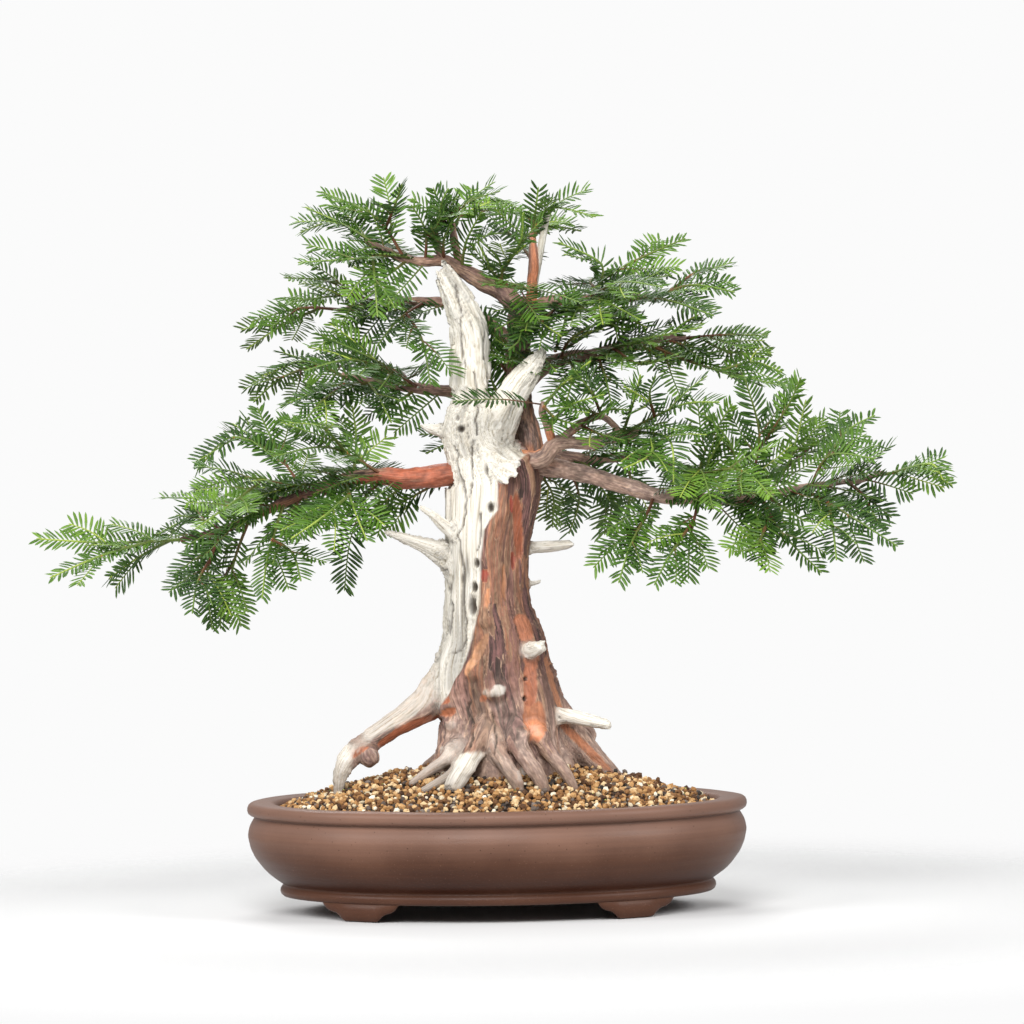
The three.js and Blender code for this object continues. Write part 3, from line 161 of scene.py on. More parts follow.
BRANCHES = {
    "leader": [(16, 6, 330, 21, 18), (25, 14, 352, 17), (27, 20, 372, 13.5), (24, 26, 394, 11.5),
        (22, 28, 420, 10), (23, 27, 448, 9.6), (24, 23, 474, 8.6), (25, 21, 490, 6)],
    "over_spar": [(25, 22, 478, 8), (9, 17, 495, 7.6), (-7, 14, 503, 7), (-22, 12, 512, 6),
        (-36, 8, 519, 5), (-51, 2, 519, 3.6), (-68, -4, 522, 3), (-83, -10, 528, 2.6),
        (-98, -16, 537, 2.2)],
    "crown_twig": [(-35, 8, 517, 3.4), (-41, 2, 532, 3), (-43, -3, 546, 2.2)],
    "crown_twig_two": [(-22, 12, 512, 3.4), (-27, 11, 534, 3), (-29, 10, 550, 2.2)],
    "orange_leader": [(25, 22, 474, 6.5), (33, 20, 488, 4.6), (35, 17, 504, 4.2), (36, 16, 522, 3.6),
        (35, 16, 542, 2.4)],
    "upper_right": [(26, 22, 476, 5), (45, 22, 485, 4.6), (61, 22, 487, 4.2), (86, 20, 487, 3.6),
        (112, 16, 488, 3), (135, 11, 487, 2.4)],
    "mid_right": [(22, 26, 412, 6.5), (40, 28, 431, 6), (63, 30, 441, 5.4), (86, 32, 443, 4.8),
        (122, 34, 453, 3.6), (158, 34, 455, 2.4)],
    "low_right": [(10, 6, 356, 10), (31, 8, 357, 9), (54, 2, 352, 7.6), (86, -6, 344, 6.6),
        (130, -14, 330, 6), (165, -20, 327, 4), (197, -24, 325, 3.2), (245, -28, 334, 2.5),
        (292, -30, 340, 2), (312, -31, 345, 1.7)],
    "twisted_right": [(10, 4, 366, 8), (30, -9, 359, 7), (42, -16, 362, 6.6), (53, -20, 373, 6),
        (78, -24, 372, 4.6), (101, -28, 377, 3.6), (118, -36, 381, 2.4)],
    "twisted_fork": [(50, -19, 370, 4), (45, -22, 386, 3.6), (41, -26, 398, 3), (42, -29, 405, 2.2)],
    "twisted_fork_two": [(55, -20, 374, 4), (71, -24, 387, 3.4), (88, -27, 393, 2.4),
        (104, -33, 379, 2.2)],
    "back_right": [(28, 16, 360, 6), (55, 34, 362, 5), (79, 46, 358, 4.4), (110, 60, 360, 3.4),
        (140, 70, 360, 2.4)],
    "low_left": [(-12, 2, 347, 10), (-29, -2, 349, 9.4), (-50, -8, 347, 8.6), (-69, -14, 346, 8),
        (-89, -20, 348, 6.6), (-117, -24, 346, 5), (-153, -28, 334, 3.8), (-183, -30, 321, 3),
        (-215, -32, 308, 2.4), (-248, -34, 300, 1.8)],
    "mid_left": [(22, 28, 402, 5.4), (0, 34, 408, 5.2), (-23, 35, 414, 5), (-52, 33, 417, 4.4),
        (-89, 34, 423, 3.4), (-120, 39, 429, 2.4)],
    "upper_left": [(22, 27, 452, 5.4), (-8, 34, 474, 4.8), (-31, 40, 485, 4.2), (-52, 46, 488, 3.6),
        (-85, 48, 487, 3), (-117, 44, 482, 2.3)],
    "low_back": [(4, 20, 348, 8), (4, 40, 358, 6), (4, 64, 364, 4.4), (3, 84, 368, 2.8)],
}

# Routes of the branchlets' shoots, the main one first: x, y, z of three points, one after the other
BRANCHLETS = {
    "low_left_tip": [(-246, -34, 300, -303, -40, 299, -359, -46, 303),
        (-272, -37, 300, -310, -62, 289, -346, -82, 274), (-256, -35, 300, -282, -10, 287, -307, 6, 270)],
    "low_left_hang_a": [(-215, -32, 308, -226, -58, 273, -222, -70, 232),
        (-223, -50, 284, -232, -84, 268, -235, -104, 246)],
    "low_left_hang_b": [(-193, -31, 317, -208, -30, 272, -202, -24, 232),
        (-204, -30, 284, -219, -8, 259, -217, 8, 236)],
    "low_left_hang_c": [(-165, -29, 331, -177, -66, 288, -181, -88, 256),
        (-174, -56, 300, -157, -88, 290, -150, -112, 270)],
    "low_left_back_tip": [(-183, -30, 321, -223, 10, 331, -266, 36, 333),
        (-214, 2, 329, -246, 38, 316, -274, 64, 302)],
    "low_left_shoulder": [(-145, -27, 337, -191, -60, 349, -232, -88, 341),
        (-182, -50, 347, -203, -98, 330, -228, -150, 312)],
    "low_left_single": [(-93, -19, 348, -113, -8, 301, -119, -10, 259)],
    "low_left_bright": [(-117, -24, 346, -110, -62, 326, -99, -84, 300),
        (-112, -48, 334, -131, -94, 319, -155, -128, 303)],
    "low_left_upright": [(-149, -28, 335, -172, 14, 370, -188, 34, 403),
        (-166, 4, 360, -188, 50, 378, -200, 74, 396), (-168, 8, 365, -208, 12, 381, -236, 24, 356)],
    "low_left_dark": [(-111, -24, 347, -108, -4, 377, -111, 6, 403)],
    "low_left_front": [(-85, -20, 348, -127, -64, 372, -169, -98, 366),
        (-116, -50, 368, -132, -92, 388, -155, -122, 392)],
    "low_left_back_a": [(-157, -28, 333, -180, 46, 330, -220, 100, 317),
        (-176, 36, 330, -158, 92, 322, -163, 140, 309)],
    "low_left_back_b": [(-101, -22, 348, -119, 56, 353, -159, 118, 348),
        (-117, 46, 353, -99, 106, 350, -100, 154, 336)],
    "mid_left_tip": [(-118, 40, 429, -153, 30, 441, -190, 20, 424),
        (-140, 34, 438, -170, 56, 428, -192, 70, 410)],
    "mid_left_low": [(-89, 34, 423, -129, 4, 420, -166, -18, 405),
        (-117, 12, 421, -135, -20, 408, -150, -40, 390), (-98, 28, 422, -90, -4, 412, -80, -22, 392)],
    "mid_left_front": [(-57, 25, 417, -92, -24, 441, -136, -52, 462),
        (-76, -4, 431, -111, -48, 441, -144, -78, 433)],
    "mid_left_back": [(-65, 27, 417, -74, 84, 432, -98, 140, 436),
        (-70, 60, 427, -118, 92, 440, -162, 130, 440)],
    "upper_left_tip": [(-117, 44, 482, -153, 36, 484, -190, 28, 474),
        (-137, 40, 483, -168, 60, 471, -197, 72, 453)],
    "upper_left_front": [(-85, 49, 487, -116, 10, 493, -157, -20, 488),
        (-104, 22, 490, -127, -8, 504, -161, -34, 507)],
    "upper_left_inner": [(-52, 46, 488, -72, 6, 474, -89, -18, 453),
        (-68, 16, 478, -54, -12, 456, -48, -26, 422)],
    "upper_left_back": [(-64, 48, 488, -86, 98, 497, -120, 142, 499)],
    "crown_left_tip": [(-83, -10, 528, -110, -22, 546, -143, -30, 562),
        (-98, -16, 539, -123, 6, 552, -150, 24, 545)],
    "crown_left_up": [(-68, -4, 522, -90, -8, 555, -131, -6, 575),
        (-82, -8, 546, -74, -32, 562, -68, -46, 578)],
    "crown_left_low": [(-75, -7, 525, -102, -44, 521, -148, -66, 518),
        (-94, -32, 522, -90, -58, 504, -88, -70, 476)],
    "crown_left_back": [(-59, 0, 520, -80, 52, 534, -113, 96, 540)],
    "crown_top_a": [(-42, 1, 536, -38, -6, 562, -32, -10, 575), (-40, -2, 548, -14, -28, 565, 8, -42, 572)],
    "crown_top_b": [(-29, 10, 544, -16, 24, 570, -13, 32, 577), (-24, 16, 556, 4, 40, 561, 22, 56, 558)],
    "crown_front": [(9, 17, 494, 9, -28, 517, -8, -52, 535), (9, -12, 511, 25, -44, 532, 28, -58, 553),
        (9, 6, 501, 38, -26, 494, -3, -58, 499)],
    "crown_right": [(35, 16, 533, 48, 4, 560, 84, -6, 553), (38, 13, 537, 38, 34, 549, 64, 44, 550),
        (35, 30, 556, 14, 60, 568, -7, 82, 564)],
    "crown_back": [(33, 18, 518, 17, 74, 542, -7, 120, 542), (24, 50, 533, 50, 92, 548, 75, 128, 546)],
    "upper_right_tip": [(133, 12, 487, 161, 0, 497, 194, -10, 491),
        (145, 6, 492, 169, 18, 509, 194, 28, 512)],
    "upper_right_up": [(81, 20, 487, 91, 14, 514, 58, 6, 532), (88, 16, 503, 122, 32, 520, 157, 44, 535)],
    "upper_right_front": [(69, 21, 486, 88, -34, 486, 118, -70, 469),
        (79, -6, 486, 104, -52, 499, 135, -84, 494)],
    "upper_right_mid": [(113, 16, 488, 144, -24, 484, 176, -44, 472)],
    "upper_right_back": [(73, 20, 487, 106, 80, 500, 149, 126, 508),
        (89, 50, 494, 82, 100, 504, 95, 148, 508)],
    "mid_right_tip": [(157, 34, 455, 189, 26, 457, 221, 20, 456), (169, 32, 455, 192, 52, 444, 226, 66, 442)],
    "mid_right_front": [(86, 32, 443, 119, -24, 453, 166, -52, 462),
        (100, 6, 448, 119, -34, 434, 147, -60, 441)],
    "mid_right_low": [(121, 34, 453, 168, 10, 433, 245, -6, 412), (184, 6, 429, 211, 28, 435, 234, 44, 427)],
    "mid_right_back": [(96, 33, 446, 130, 90, 447, 173, 140, 440)],
    "mid_right_face": [(56, 29, 438, 68, -18, 458, 117, -46, 480)],
    "front_sprig": [(42, -29, 402, 7, -50, 408, -28, -64, 407)],
    "low_right_tip": [(306, -31, 344, 342, -30, 346, 364, -28, 335),
        (318, -32, 348, 346, -54, 352, 354, -70, 341)],
    "low_right_top": [(254, -29, 335, 268, -48, 360, 301, -62, 357),
        (262, -38, 350, 284, -16, 379, 305, -4, 390)],
    "low_right_upright": [(201, -25, 326, 213, -30, 373, 202, -38, 420),
        (211, -30, 365, 233, -52, 396, 244, -64, 420)],
    "low_right_fan": [(217, -26, 329, 239, 12, 356, 253, 28, 402), (235, 4, 352, 265, 40, 371, 291, 60, 381)],
    "low_right_drop_a": [(245, -28, 334, 274, -60, 317, 316, -84, 289),
        (267, -50, 322, 267, -86, 301, 268, -104, 280), (258, -42, 326, 286, -4, 320, 312, 30, 304)],
    "low_right_drop_b": [(213, -26, 328, 227, -52, 301, 257, -70, 269),
        (220, -40, 313, 207, -74, 290, 190, -92, 286)],
    "low_right_hang_a": [(165, -20, 327, 156, -44, 294, 154, -56, 266),
        (160, -34, 310, 139, -68, 283, 127, -84, 262)],
    "low_right_hang_b": [(130, -14, 330, 117, -40, 307, 86, -56, 286),
        (121, -32, 314, 108, -62, 290, 99, -74, 264)],
    "low_right_front_a": [(157, -18, 328, 164, -74, 350, 172, -112, 321),
        (162, -54, 346, 194, -102, 350, 216, -150, 330)],
    "low_right_front_b": [(116, -36, 381, 140, -78, 374, 142, -100, 343),
        (129, -56, 378, 124, -96, 363, 104, -118, 353)],
    "low_right_inner": [(104, -32, 378, 149, -60, 401, 178, -82, 403),
        (130, -48, 391, 125, -72, 410, 129, -86, 423)],
    "low_right_back_a": [(181, -22, 326, 204, 44, 324, 243, 96, 316),
        (195, 20, 325, 179, 84, 340, 187, 134, 345)],
    "low_right_back_b": [(132, 68, 360, 150, 96, 346, 168, 128, 318)],
    "low_back": [(4, 78, 366, 7, 116, 375, 23, 154, 364), (5, 92, 370, -26, 128, 375, -54, 152, 365)],
}

# The live bark's left edge on the front of the trunk, as x at each height
BARK_EDGE = [
    (80, -60), (150, -52), (195, -26), (206, -23), (217, -19), (237, -14), (249, -11), (281, -10),
    (305, -7), (320, 4), (344, 5), (352, 12), (362, 24), (372, 34), (420, 60),
]
BARK_EDGE_BACK = -20.0

# Places on the front where old bark has come away: x, z, half width, half height, lean, warmth
PEELED = [
    (15, 325, 1.6, 8, -0.05, 1.0), (20, 306, 3.8, 26, -0.03, 0.8), (15.5, 279, 2.0, 8, 0.0, 0.9),
    (27, 262, 2.4, 24, -0.16, 0.4), (23.5, 226, 7.0, 12, -0.3, 0.62), (29, 205, 6.5, 14, -0.1, 0.66),
    (28, 180, 6.0, 20, 0.02, 0.7), (31, 152, 10, 17, -0.05, 0.5), (-7, 268, 3.6, 6, 0.0, 0.92),
    (-13.5, 206, 3.8, 17, 0.5, 0.15), (-10, 171, 3.4, 3.4, 0.3, 0.6), (36, 236, 2.4, 22, -0.3, 0.45),
    (72, 128, 5, 24, -0.95, 0.5), (-44, 172, 8, 6, -0.4, 0.75), (46, 180, 3, 22, -0.3, 0.4),
    (-5, 250, 2.0, 9, 0.1, 0.35), (8, 262, 1.6, 16, 0.0, 0.3), (-36, 160, 5, 4, 0.4, 0.6),
    (-70, 145, 13, 13, 1.75, 0.76), (-113, 128, 6.5, 6, 1.5, 0.66),
]

# Holes on the front: x, z, half width, half height, depth
HOLLOWS = [
    (-13, 278, 2.0, 3.4, 4.0), (-15, 259, 2.2, 3.8, 4.0), (-17, 244, 2.6, 7.0, 4.6),
    (-1, 322, 2.6, 3.8, 4.5), (-27, 394, 1.5, 2.4, 2.2), (-24, 385, 3.4, 2.8, 3.6), (4, 388, 2.6, 3.4, 1.2),
    (-16, 340, 1.5, 2.4, 1.8), (24, 186, 1.4, 2.0, 3.0), (23, 170, 1.5, 2.0, 3.2), (-4, 352, 1.4, 4.0, 2.2),
    (-33, 451, 1.2, 2.6, 2.0),
]
# Cracks on the front: x and z of each line's points
CRACKS = [
    [(-27, 300), (-25, 281), (-24, 249), (-23, 217), (-28, 210), (-36, 207)],
    [(-14, 430), (-11, 405), (-12, 380)], [(-2, 462), (-4, 446), (-3, 425)],
    [(-30, 372), (-24, 345), (-20, 318), (-27, 300)], [(-16, 372), (-14, 350), (-18, 330)],
    [(-36, 262), (-33, 240), (-36, 222)], [(-3, 160), (0, 140), (-1, 126)],
    [(-22, 168), (-18, 148), (-20, 134)], [(-26, 500), (-22, 474), (-24, 455), (-20, 432)],
    [(-10, 318), (-9, 300), (-12, 288)],
]
# Knobs on the front: x, z, radius, rise, and how white their tops are
KNOBS = [
    (1, 177, 8.0, 7.0, 0.62), (-6, 175, 5.0, 2.5, 0.3), (30, 143, 9.0, 6.0, 0.12), (-8, 232, 5.0, 2.8, 0.0),
    (-18, 193, 7.0, 2.5, 0.0), (-34, 150, 6.0, 3.0, 0.2), (-38, 127, 8.0, 1.2, 0.5),
    (-21, 117, 6.0, 1.0, 0.45), (20, 111, 7.0, 1.6, 0.4),
]

# How far the broken end of a dead limb runs on in splinters, and how lumpy the limb is
TORN = {
    "spar": (15.0, 0.24), "right_lobe": (11.0, 0.22), "torn_shield": (6.0, 0.3),
    "shield_low": (5.0, 0.3), "shield_foot": (5.0, 0.3), "left_stub": (6.0, 0.25), "cut_stub": (8.0, 0.26),
    "right_snag": (9.0, 0.3), "long_left_snag": (8.0, 0.2), "high_left_snag": (7.0, 0.25),
    "white_root_snag": (6.0, 0.16), "right_peg": (6.0, 0.3), "white_cut_root": (4.0, 0.12),
}

# How much of these roots is bare, bleached wood
BARE_ROOTS = {"front_root": 0.12, "left_root": 0.45, "low_left_root": 0.6}

# For each branch: how much smooth bark shows under the flakes, how warm that is, and how pale the flakes are
BRANCH_BARK = {
    "leader": (0.35, 0.42, 0.35), "orange_leader": (2.0, 0.6, 0.2), "low_left": (0.4, 0.84, 0.05),
    "twisted_right": (0.42, 0.4, 0.7), "twisted_fork": (0.4, 0.5, 0.5), "twisted_fork_two": (0.4, 0.5, 0.5),
    "low_right": (0.16, 0.1, 0.85), "back_right": (0.1, 0.1, 0.4),
}

# Branchlets of young green growth
BRIGHT = ("low_left_bright", "low_left_tip", "low_right_tip", "low_right_front_b")

# Branchlets whose shoots carry needles only
SINGLE = ("front_sprig", "low_left_single")

# Short shoots on the branches themselves: the branch, from and to as shares of its length, and how many
SPRIGS = {
    "left_sprigs": [("low_left", 0.25, 0.95, 30), ("mid_left", 0.4, 0.95, 8)],
    "crown_left_sprigs": [("upper_left", 0.4, 0.9, 8), ("over_spar", 0.6, 0.95, 7),
        ("crown_twig", 0.4, 1.0, 3), ("crown_twig_two", 0.4, 1.0, 3)],
    "crown_right_sprigs": [("upper_right", 0.35, 1.0, 8), ("orange_leader", 0.8, 1.0, 2),
        ("mid_right", 0.2, 1.0, 13)],
    "right_sprigs": [("low_right", 0.39, 0.95, 29), ("back_right", 0.2, 1.0, 10),
        ("twisted_right", 0.7, 1.0, 5), ("low_back", 0.5, 1.0, 5)],
}

# Leafy shoots that fill the inside of the crown: their routes from the wood outwards, as above
INNER_SHOOTS = {
    "inner_left_shoots": [(-35, 6, 347, -62, 24, 332, -92, 30, 318),
        (-60, -4, 346, -84, 10, 330, -104, 8, 306)],
    "inner_right_shoots": [(42, -29, 402, 58, -40, 420, 78, -50, 436),
        (88, -27, 393, 80, -44, 412, 66, -52, 430), (45, -22, 386, 62, -40, 402, 88, -50, 410),
        (104, -33, 379, 112, -50, 402, 118, -60, 424), (71, -24, 387, 92, -44, 398, 108, -58, 398),
        (165, -20, 327, 170, -42, 352, 182, -56, 374), (63, 30, 441, 66, 6, 428, 60, -10, 404),
        (86, 32, 443, 92, 4, 424, 96, -14, 402), (160, -20, 328, 170, -36, 366, 190, -46, 400),
        (197, -24, 325, 190, -44, 368, 168, -56, 394), (42, -29, 402, 52, -42, 392, 68, -50, 387),
        (88, -27, 393, 72, -42, 400, 54, -52, 400), (71, -24, 387, 84, -44, 380, 104, -54, 374)],
    "inner_low_shoots": [(55, 34, 362, 70, 48, 330, 62, 58, 300), (79, 46, 358, 96, 58, 326, 92, 66, 300),
        (28, 16, 360, 48, 36, 332, 48, 46, 306), (110, 60, 360, 112, 62, 330, 104, 60, 306)],
    "inner_crown_shoots": [(23, 27, 448, 0, 22, 462, -18, 14, 482), (22, 28, 420, 4, 18, 442, -6, 12, 470),
        (24, 26, 394, 6, 18, 410, -2, 12, 436), (-51, 2, 519, -50, -12, 543, -60, -20, 562),
        (-22, 12, 512, -18, -4, 534, -6, -14, 556), (-36, 8, 519, -35, -14, 538, -24, -28, 556),
        (24, 23, 474, 38, -4, 470, 56, -22, 458), (23, 27, 448, 40, 6, 442, 52, -12, 430),
        (9, 17, 495, 2, -6, 512, -8, -20, 532), (40, 28, 431, 26, 2, 442, 4, -14, 456),
        (45, 22, 485, 26, 0, 475, 6, -18, 464), (61, 22, 487, 42, -6, 470, 16, -22, 448),
        (52, 24, 446, 60, 2, 468, 68, -14, 494), (60, 24, 448, 84, 2, 462, 112, -14, 474),
        (66, 22, 486, 84, 0, 474, 106, -18, 462), (90, 24, 489, 104, 4, 476, 124, -10, 464),
        (46, 24, 472, 66, 2, 480, 90, -14, 487)],
}

# The way the flat of a shoot looks: at the front, high up at the front, and at the back
FRONT_FACE = np.array([0.0, -0.6, 0.8])
HIGH_FACE = np.array([0.0, -0.5, 0.87])
BACK_FACE = np.array([0.0, 0.55, 0.83])

# Material numbers on the shoots
UPPER_SKIN, UNDERSIDE, TWIG_BARK, BUD_SCALES = range(4)

# A needle's three rings: how far along, and shares of its half width and of its midrib's height
NEEDLE_ALONG = np.array([0.0, 0.4, 0.8])
NEEDLE_WIDE = np.array([0.4, 1.0, 0.8])
NEEDLE_DEEP = np.array([0.7, 1.0, 0.7])

# Dull natural surfaces: which of the mesh's values they follow, the mottle's share, shift, scale and detail,
# the ramp, the bump's strength and its depth in metres, and the roughness
MOTTLED = {
    # Damp crumbs, and painted shade: the bed is dark where it shows between the grains
    "damp_soil_and_shade": ("tone", 0.45, 0.22, 300.0, 3.0, [(0.1, "#2f2118"), (0.5, "#5a412b"), (0.9, "#806040")],
        0.7, 0.0006, 0.9),
    # Fired clay: broken ochre grains with dusty, paler faces
    "crushed_akadama_grains": ("tone", 0.45, 0.22, 500.0, 3.0,
        [(0.0, "#3a2414"), (0.25, "#6a4626"), (0.5, "#9c7040"), (0.75, "#bb9260"), (0.95, "#d8bc90")],
        0.7, 0.0006, 0.85),
    # Pale, porous volcanic glass
    "crushed_pumice_grains": ("tone", 0.45, 0.22, 900.0, 3.0,
        [(0.0, "#b7a98c"), (0.5, "#dccdb0"), (0.95, "#efe6d2")], 0.7, 0.0006, 0.9),
    # Dark, porous basalt
    "crushed_lava_grains": ("tone", 0.45, 0.22, 900.0, 3.0,
        [(0.0, "#2b2725"), (0.5, "#55483f"), (0.95, "#7b6f67")], 0.7, 0.0006, 0.9),
    # Dry olive cushions, a few millimetres wide
    "dry_moss": ("tone", 0.45, 0.22, 1400.0, 3.0, [(0.1, "#4d5a25"), (0.6, "#7d8c3a"), (0.95, "#a9ad5c")],
        0.7, 0.0006, 0.95),
    # Red-brown bark on last year's wood, turning to a ribbed yellow-green towards the tip
    "yew_twig_bark": ("age", 0.3, 0.0, 300.0, 3.0,
        [(0.1, "#46301f"), (0.3, "#6d402b"), (0.42, "#5d5f2c"), (0.66, "#5f7a2f"), (0.84, "#78923a"),
        (1.0, "#a2b24a")], 0.5, 0.0004, 0.6),
    # Papery, overlapping, orange-brown scales that dot the joints between years
    "yew_bud_scales": ("age", 1.0, 0.0, 700.0, 2.0, [(0.3, "#7a4526"), (0.55, "#9c5c30"), (0.8, "#b9804a")],
        0.6, 0.0004, 0.55),
}

# Wood: purple-browns of the flakes, the young bark under them from tan to blood orange, and bleached wood
BARK_BROWNS = [(0.0, "#3a2a24"), (0.18, "#6b4a46"), (0.34, "#563c31"), (0.5, "#805c52"), (0.64, "#644539"),
    (0.78, "#8f7058"), (0.92, "#795343"), (1.0, "#8a5f47")]
UNDER_BARK = [(0.0, "#b38a66"), (0.3, "#be835c"), (0.6, "#c27a56"), (0.8, "#a65c3c"), (0.92, "#8e3626"),
    (1.0, "#a83a2c")]
DEAD_GREYS = [(0.27, "#a59a85"), (0.38, "#cbc2b1"), (0.48, "#e1dbcf"), (0.72, "#efebe3")]

# Greens of the needles, from old and shaded to new growth
UPPER_GREENS = [(0.05, "#12260e"), (0.3, "#244214"), (0.55, "#41631a"), (0.85, "#6f9232")]
UNDER_GREENS = [(0.05, "#35532f"), (0.5, "#587540"), (0.95, "#86a052")]

# Stage, in millimetres: the rings of the paper sheet and its level
SHEET_REACH = (0.001, 500, 1400)
SHEET_LEVEL = -0.2

# Soft lights, in metres: name, place, width, and the share of the main light's power; and what they aim at
LAMPS = [
    ("left_softbox", (-2.1, -1.3, 1.5), 1.2, 0.8), ("right_softbox", (2.1, -1.2, 1.5), 1.2, 0.78),
    ("front_softbox", (-0.3, -2.2, 1.75), 1.5, 1.3), ("back_softbox", (-0.3, 1.7, 2.0), 1.4, 0.6),
]
LAMP_AIM = Vector((0, 0, 0.3))

# Camera: its place in metres, and how far it looks down and leans, in degrees
CAMERA_PLACE = (0.0155, -4.2, 0.402)
CAMERA_DOWN = 1.149
CAMERA_LEAN = -0.87


def linear(code):
    """An sRGB hex colour as linear red, green, blue and alpha."""
    parts = [int(code[i:i + 2], 16) / 255 for i in (1, 3, 5)]
    return [p / 12.92 if p <= 0.04045 else ((p + 0.055) / 1.055) ** 2.4 for p in parts] + [1.0]


def draw(first, second):
    """A fixed value from 0 to 1 for a pair of numbers, by the same rule as in the CAD source."""
    wave = np.sin(np.asarray(first) * 12.9898 + np.asarray(second) * 78.233) * 437.585453
    return wave - np.floor(wave)


def unit(vectors):
    """The same directions at length 1."""
    return vectors / np.maximum(np.linalg.norm(vectors, axis=-1, keepdims=True), 1e-9)


def step(low, high, values):
    """A smooth rise from 0 at low to 1 at high."""
    part = np.clip((values - low) / (high - low), 0, 1)
    return part * part * (3 - 2 * part)


def cell_value(cells, salt):
    """A fixed value from 0 to 1 for each whole-number cell."""
    whole = cells.astype(np.int64)
    mixed = (whole[..., 0] * 73856093) ^ (whole[..., 1] * 19349663) ^ (whole[..., 2] * 83492791)
    mixed = (mixed ^ (salt * 40503)) & 0xFFFFFFFF
    mixed = ((mixed ^ (mixed >> 15)) * 739982445) & 0xFFFFFFFF
    mixed = ((mixed ^ (mixed >> 12)) * 695872825) & 0xFFFFFFFF
    return ((mixed ^ (mixed >> 15)) & 0xFFFF) / 65535.0


def noise(points, salt=0):
    """Smooth noise from -1 to 1: each point mixes the fixed values at the eight corners round it."""
    base = np.floor(points)
    part = points - base
    part = part * part * (3 - 2 * part)
    total = np.zeros(len(points))
    for corner in np.ndindex(2, 2, 2):
        weight = np.prod(np.where(corner, part, 1 - part), axis=1)
        total += weight * cell_value(base + corner, salt)
    return 2 * total - 1


def rough(points, octaves, salt=0):
    """Noise with finer noise added at half the size and half the height, from about -1 to 1."""
    layers = [noise(points * 2 ** i + 7.3 * i, salt + i) / 2 ** i for i in range(octaves)]
    return sum(layers) / 1.6


def ridged(points, octaves, salt=0):
    """Sharp crests where the noise crosses nought, from 0 in the hollows to 1 on the crests."""
    return 1 - np.minimum(1, 1.7 * np.abs(rough(points, octaves, salt)))


def plates(points, salt=0):
    """Cells round a drawn centre in each cube: how far inside its cell a point is, and the cell's value."""
    base = np.floor(points)
    near = np.full(len(points), FAR)
    second = np.full(len(points), FAR)
    value = np.zeros(len(points))
    for offset in np.ndindex(3, 3, 3):
        cell = base + np.array(offset) - 1
        centre = cell + np.stack([cell_value(cell, salt + axis) for axis in range(3)], axis=1)
        distance = np.linalg.norm(points - centre, axis=1)
        closer = distance < near
        second = np.where(closer, near, np.minimum(second, distance))
        value = np.where(closer, cell_value(cell, salt + 3), value)
        near = np.where(closer, distance, near)
    return second - near, value


def curve(points, places):
    """The uniform Catmull-Rom curve through points, with held ends, at each place along it."""
    points = np.asarray(points, float)
    last = len(points) - 1
    start = np.clip(np.floor(places).astype(int), 0, last - 1)
    t = (places - start)[:, None]
    a, b, c, d = (points[np.clip(start + k, 0, last)] for k in (-1, 0, 1, 2))
    return b + 0.5 * t * ((c - a) + t * ((2 * a - 5 * b + 4 * c - d) + t * (3 * b - a - 3 * c + d)))


def even(points, spacing):
    """Points of the curve at even distances of about spacing, and the distance run at each."""
    last = len(points) - 1
    places = np.linspace(0, last, 16 * last + 1)
    line = curve(points, places)[:, :3]
    run = np.concatenate([[0], np.cumsum(np.linalg.norm(np.diff(line, axis=0), axis=1))])
    count = max(3, round(run[-1] / spacing))
    wanted = np.linspace(0, run[-1], count + 1)
    return curve(points, np.interp(wanted, run, places)), wanted


class Path:
    """Stations along a route, each with its centre, its directions and its half width and depth."""

    def __init__(self, route, spacing, facing=None):
        # Where a point gives no half depth, the section is round
        if len(route[0]) > 3:
            route = [tuple(point) + (point[3],) * (5 - len(point)) for point in route]
        values, self.run = even(route, spacing)
        self.centre = values[:, :3]
        self.width = values[:, 3] if values.shape[1] > 3 else np.ones(len(values))
        self.thick = values[:, 4] if values.shape[1] > 4 else self.width
        chord = unit(self.centre[-1] - self.centre[0])
        if facing is None:
            facing = UP if abs(chord[1]) > 0.75 else BACK
        self.forward = unit(np.gradient(self.centre, axis=0))
        self.depth = unit(facing - (self.forward @ facing)[:, None] * self.forward)
        self.across = np.cross(self.depth, self.forward)
        self.length = self.run[-1]

    def at(self, runs):
        """Centre, forward, across and depth at one distance run, or at each of several."""
        parts = (self.centre, self.forward, self.across, self.depth)
        return [np.stack([np.interp(runs, self.run, row) for row in part.T], axis=-1) for part in parts]

    def place(self, points):
        """Each point's nearest station, and its way across and through in half sizes, and along, from it."""
        near = np.argmin(((points[:, None] - self.centre) ** 2).sum(axis=2), axis=1)
        arm = points - self.centre[near]
        across = (arm * self.across[near]).sum(axis=1) / self.width[near]
        deep = (arm * self.depth[near]).sum(axis=1) / self.thick[near]
        return near, across, deep, (arm * self.forward[near]).sum(axis=1)

    def fibre(self, near, across, deep, along=0.0):
        """A place in millimetres round the limb and along it."""
        girth = self.width.mean()
        return np.stack([girth * across, girth * deep, self.run[near] + along], axis=1)


class Shape:
    """A mesh in the making: points in millimetres, faces with a material number, values for each point."""

    def __init__(self, points, quads=(), tris=(), quad_material=0, tri_material=0, **values):
        self.points = np.asarray(points, float).reshape(-1, 3)
        self.quads = np.asarray(quads, int).reshape(-1, 4)
        self.tris = np.asarray(tris, int).reshape(-1, 3)
        self.quad_material = np.broadcast_to(quad_material, len(self.quads))
        self.tri_material = np.broadcast_to(tri_material, len(self.tris))
        count = len(self.points)
        self.values = {}
        for name, value in values.items():
            value = np.asarray(value, float)
            self.values[name] = np.broadcast_to(value, (count,) + value.shape[1:] if value.ndim else count)


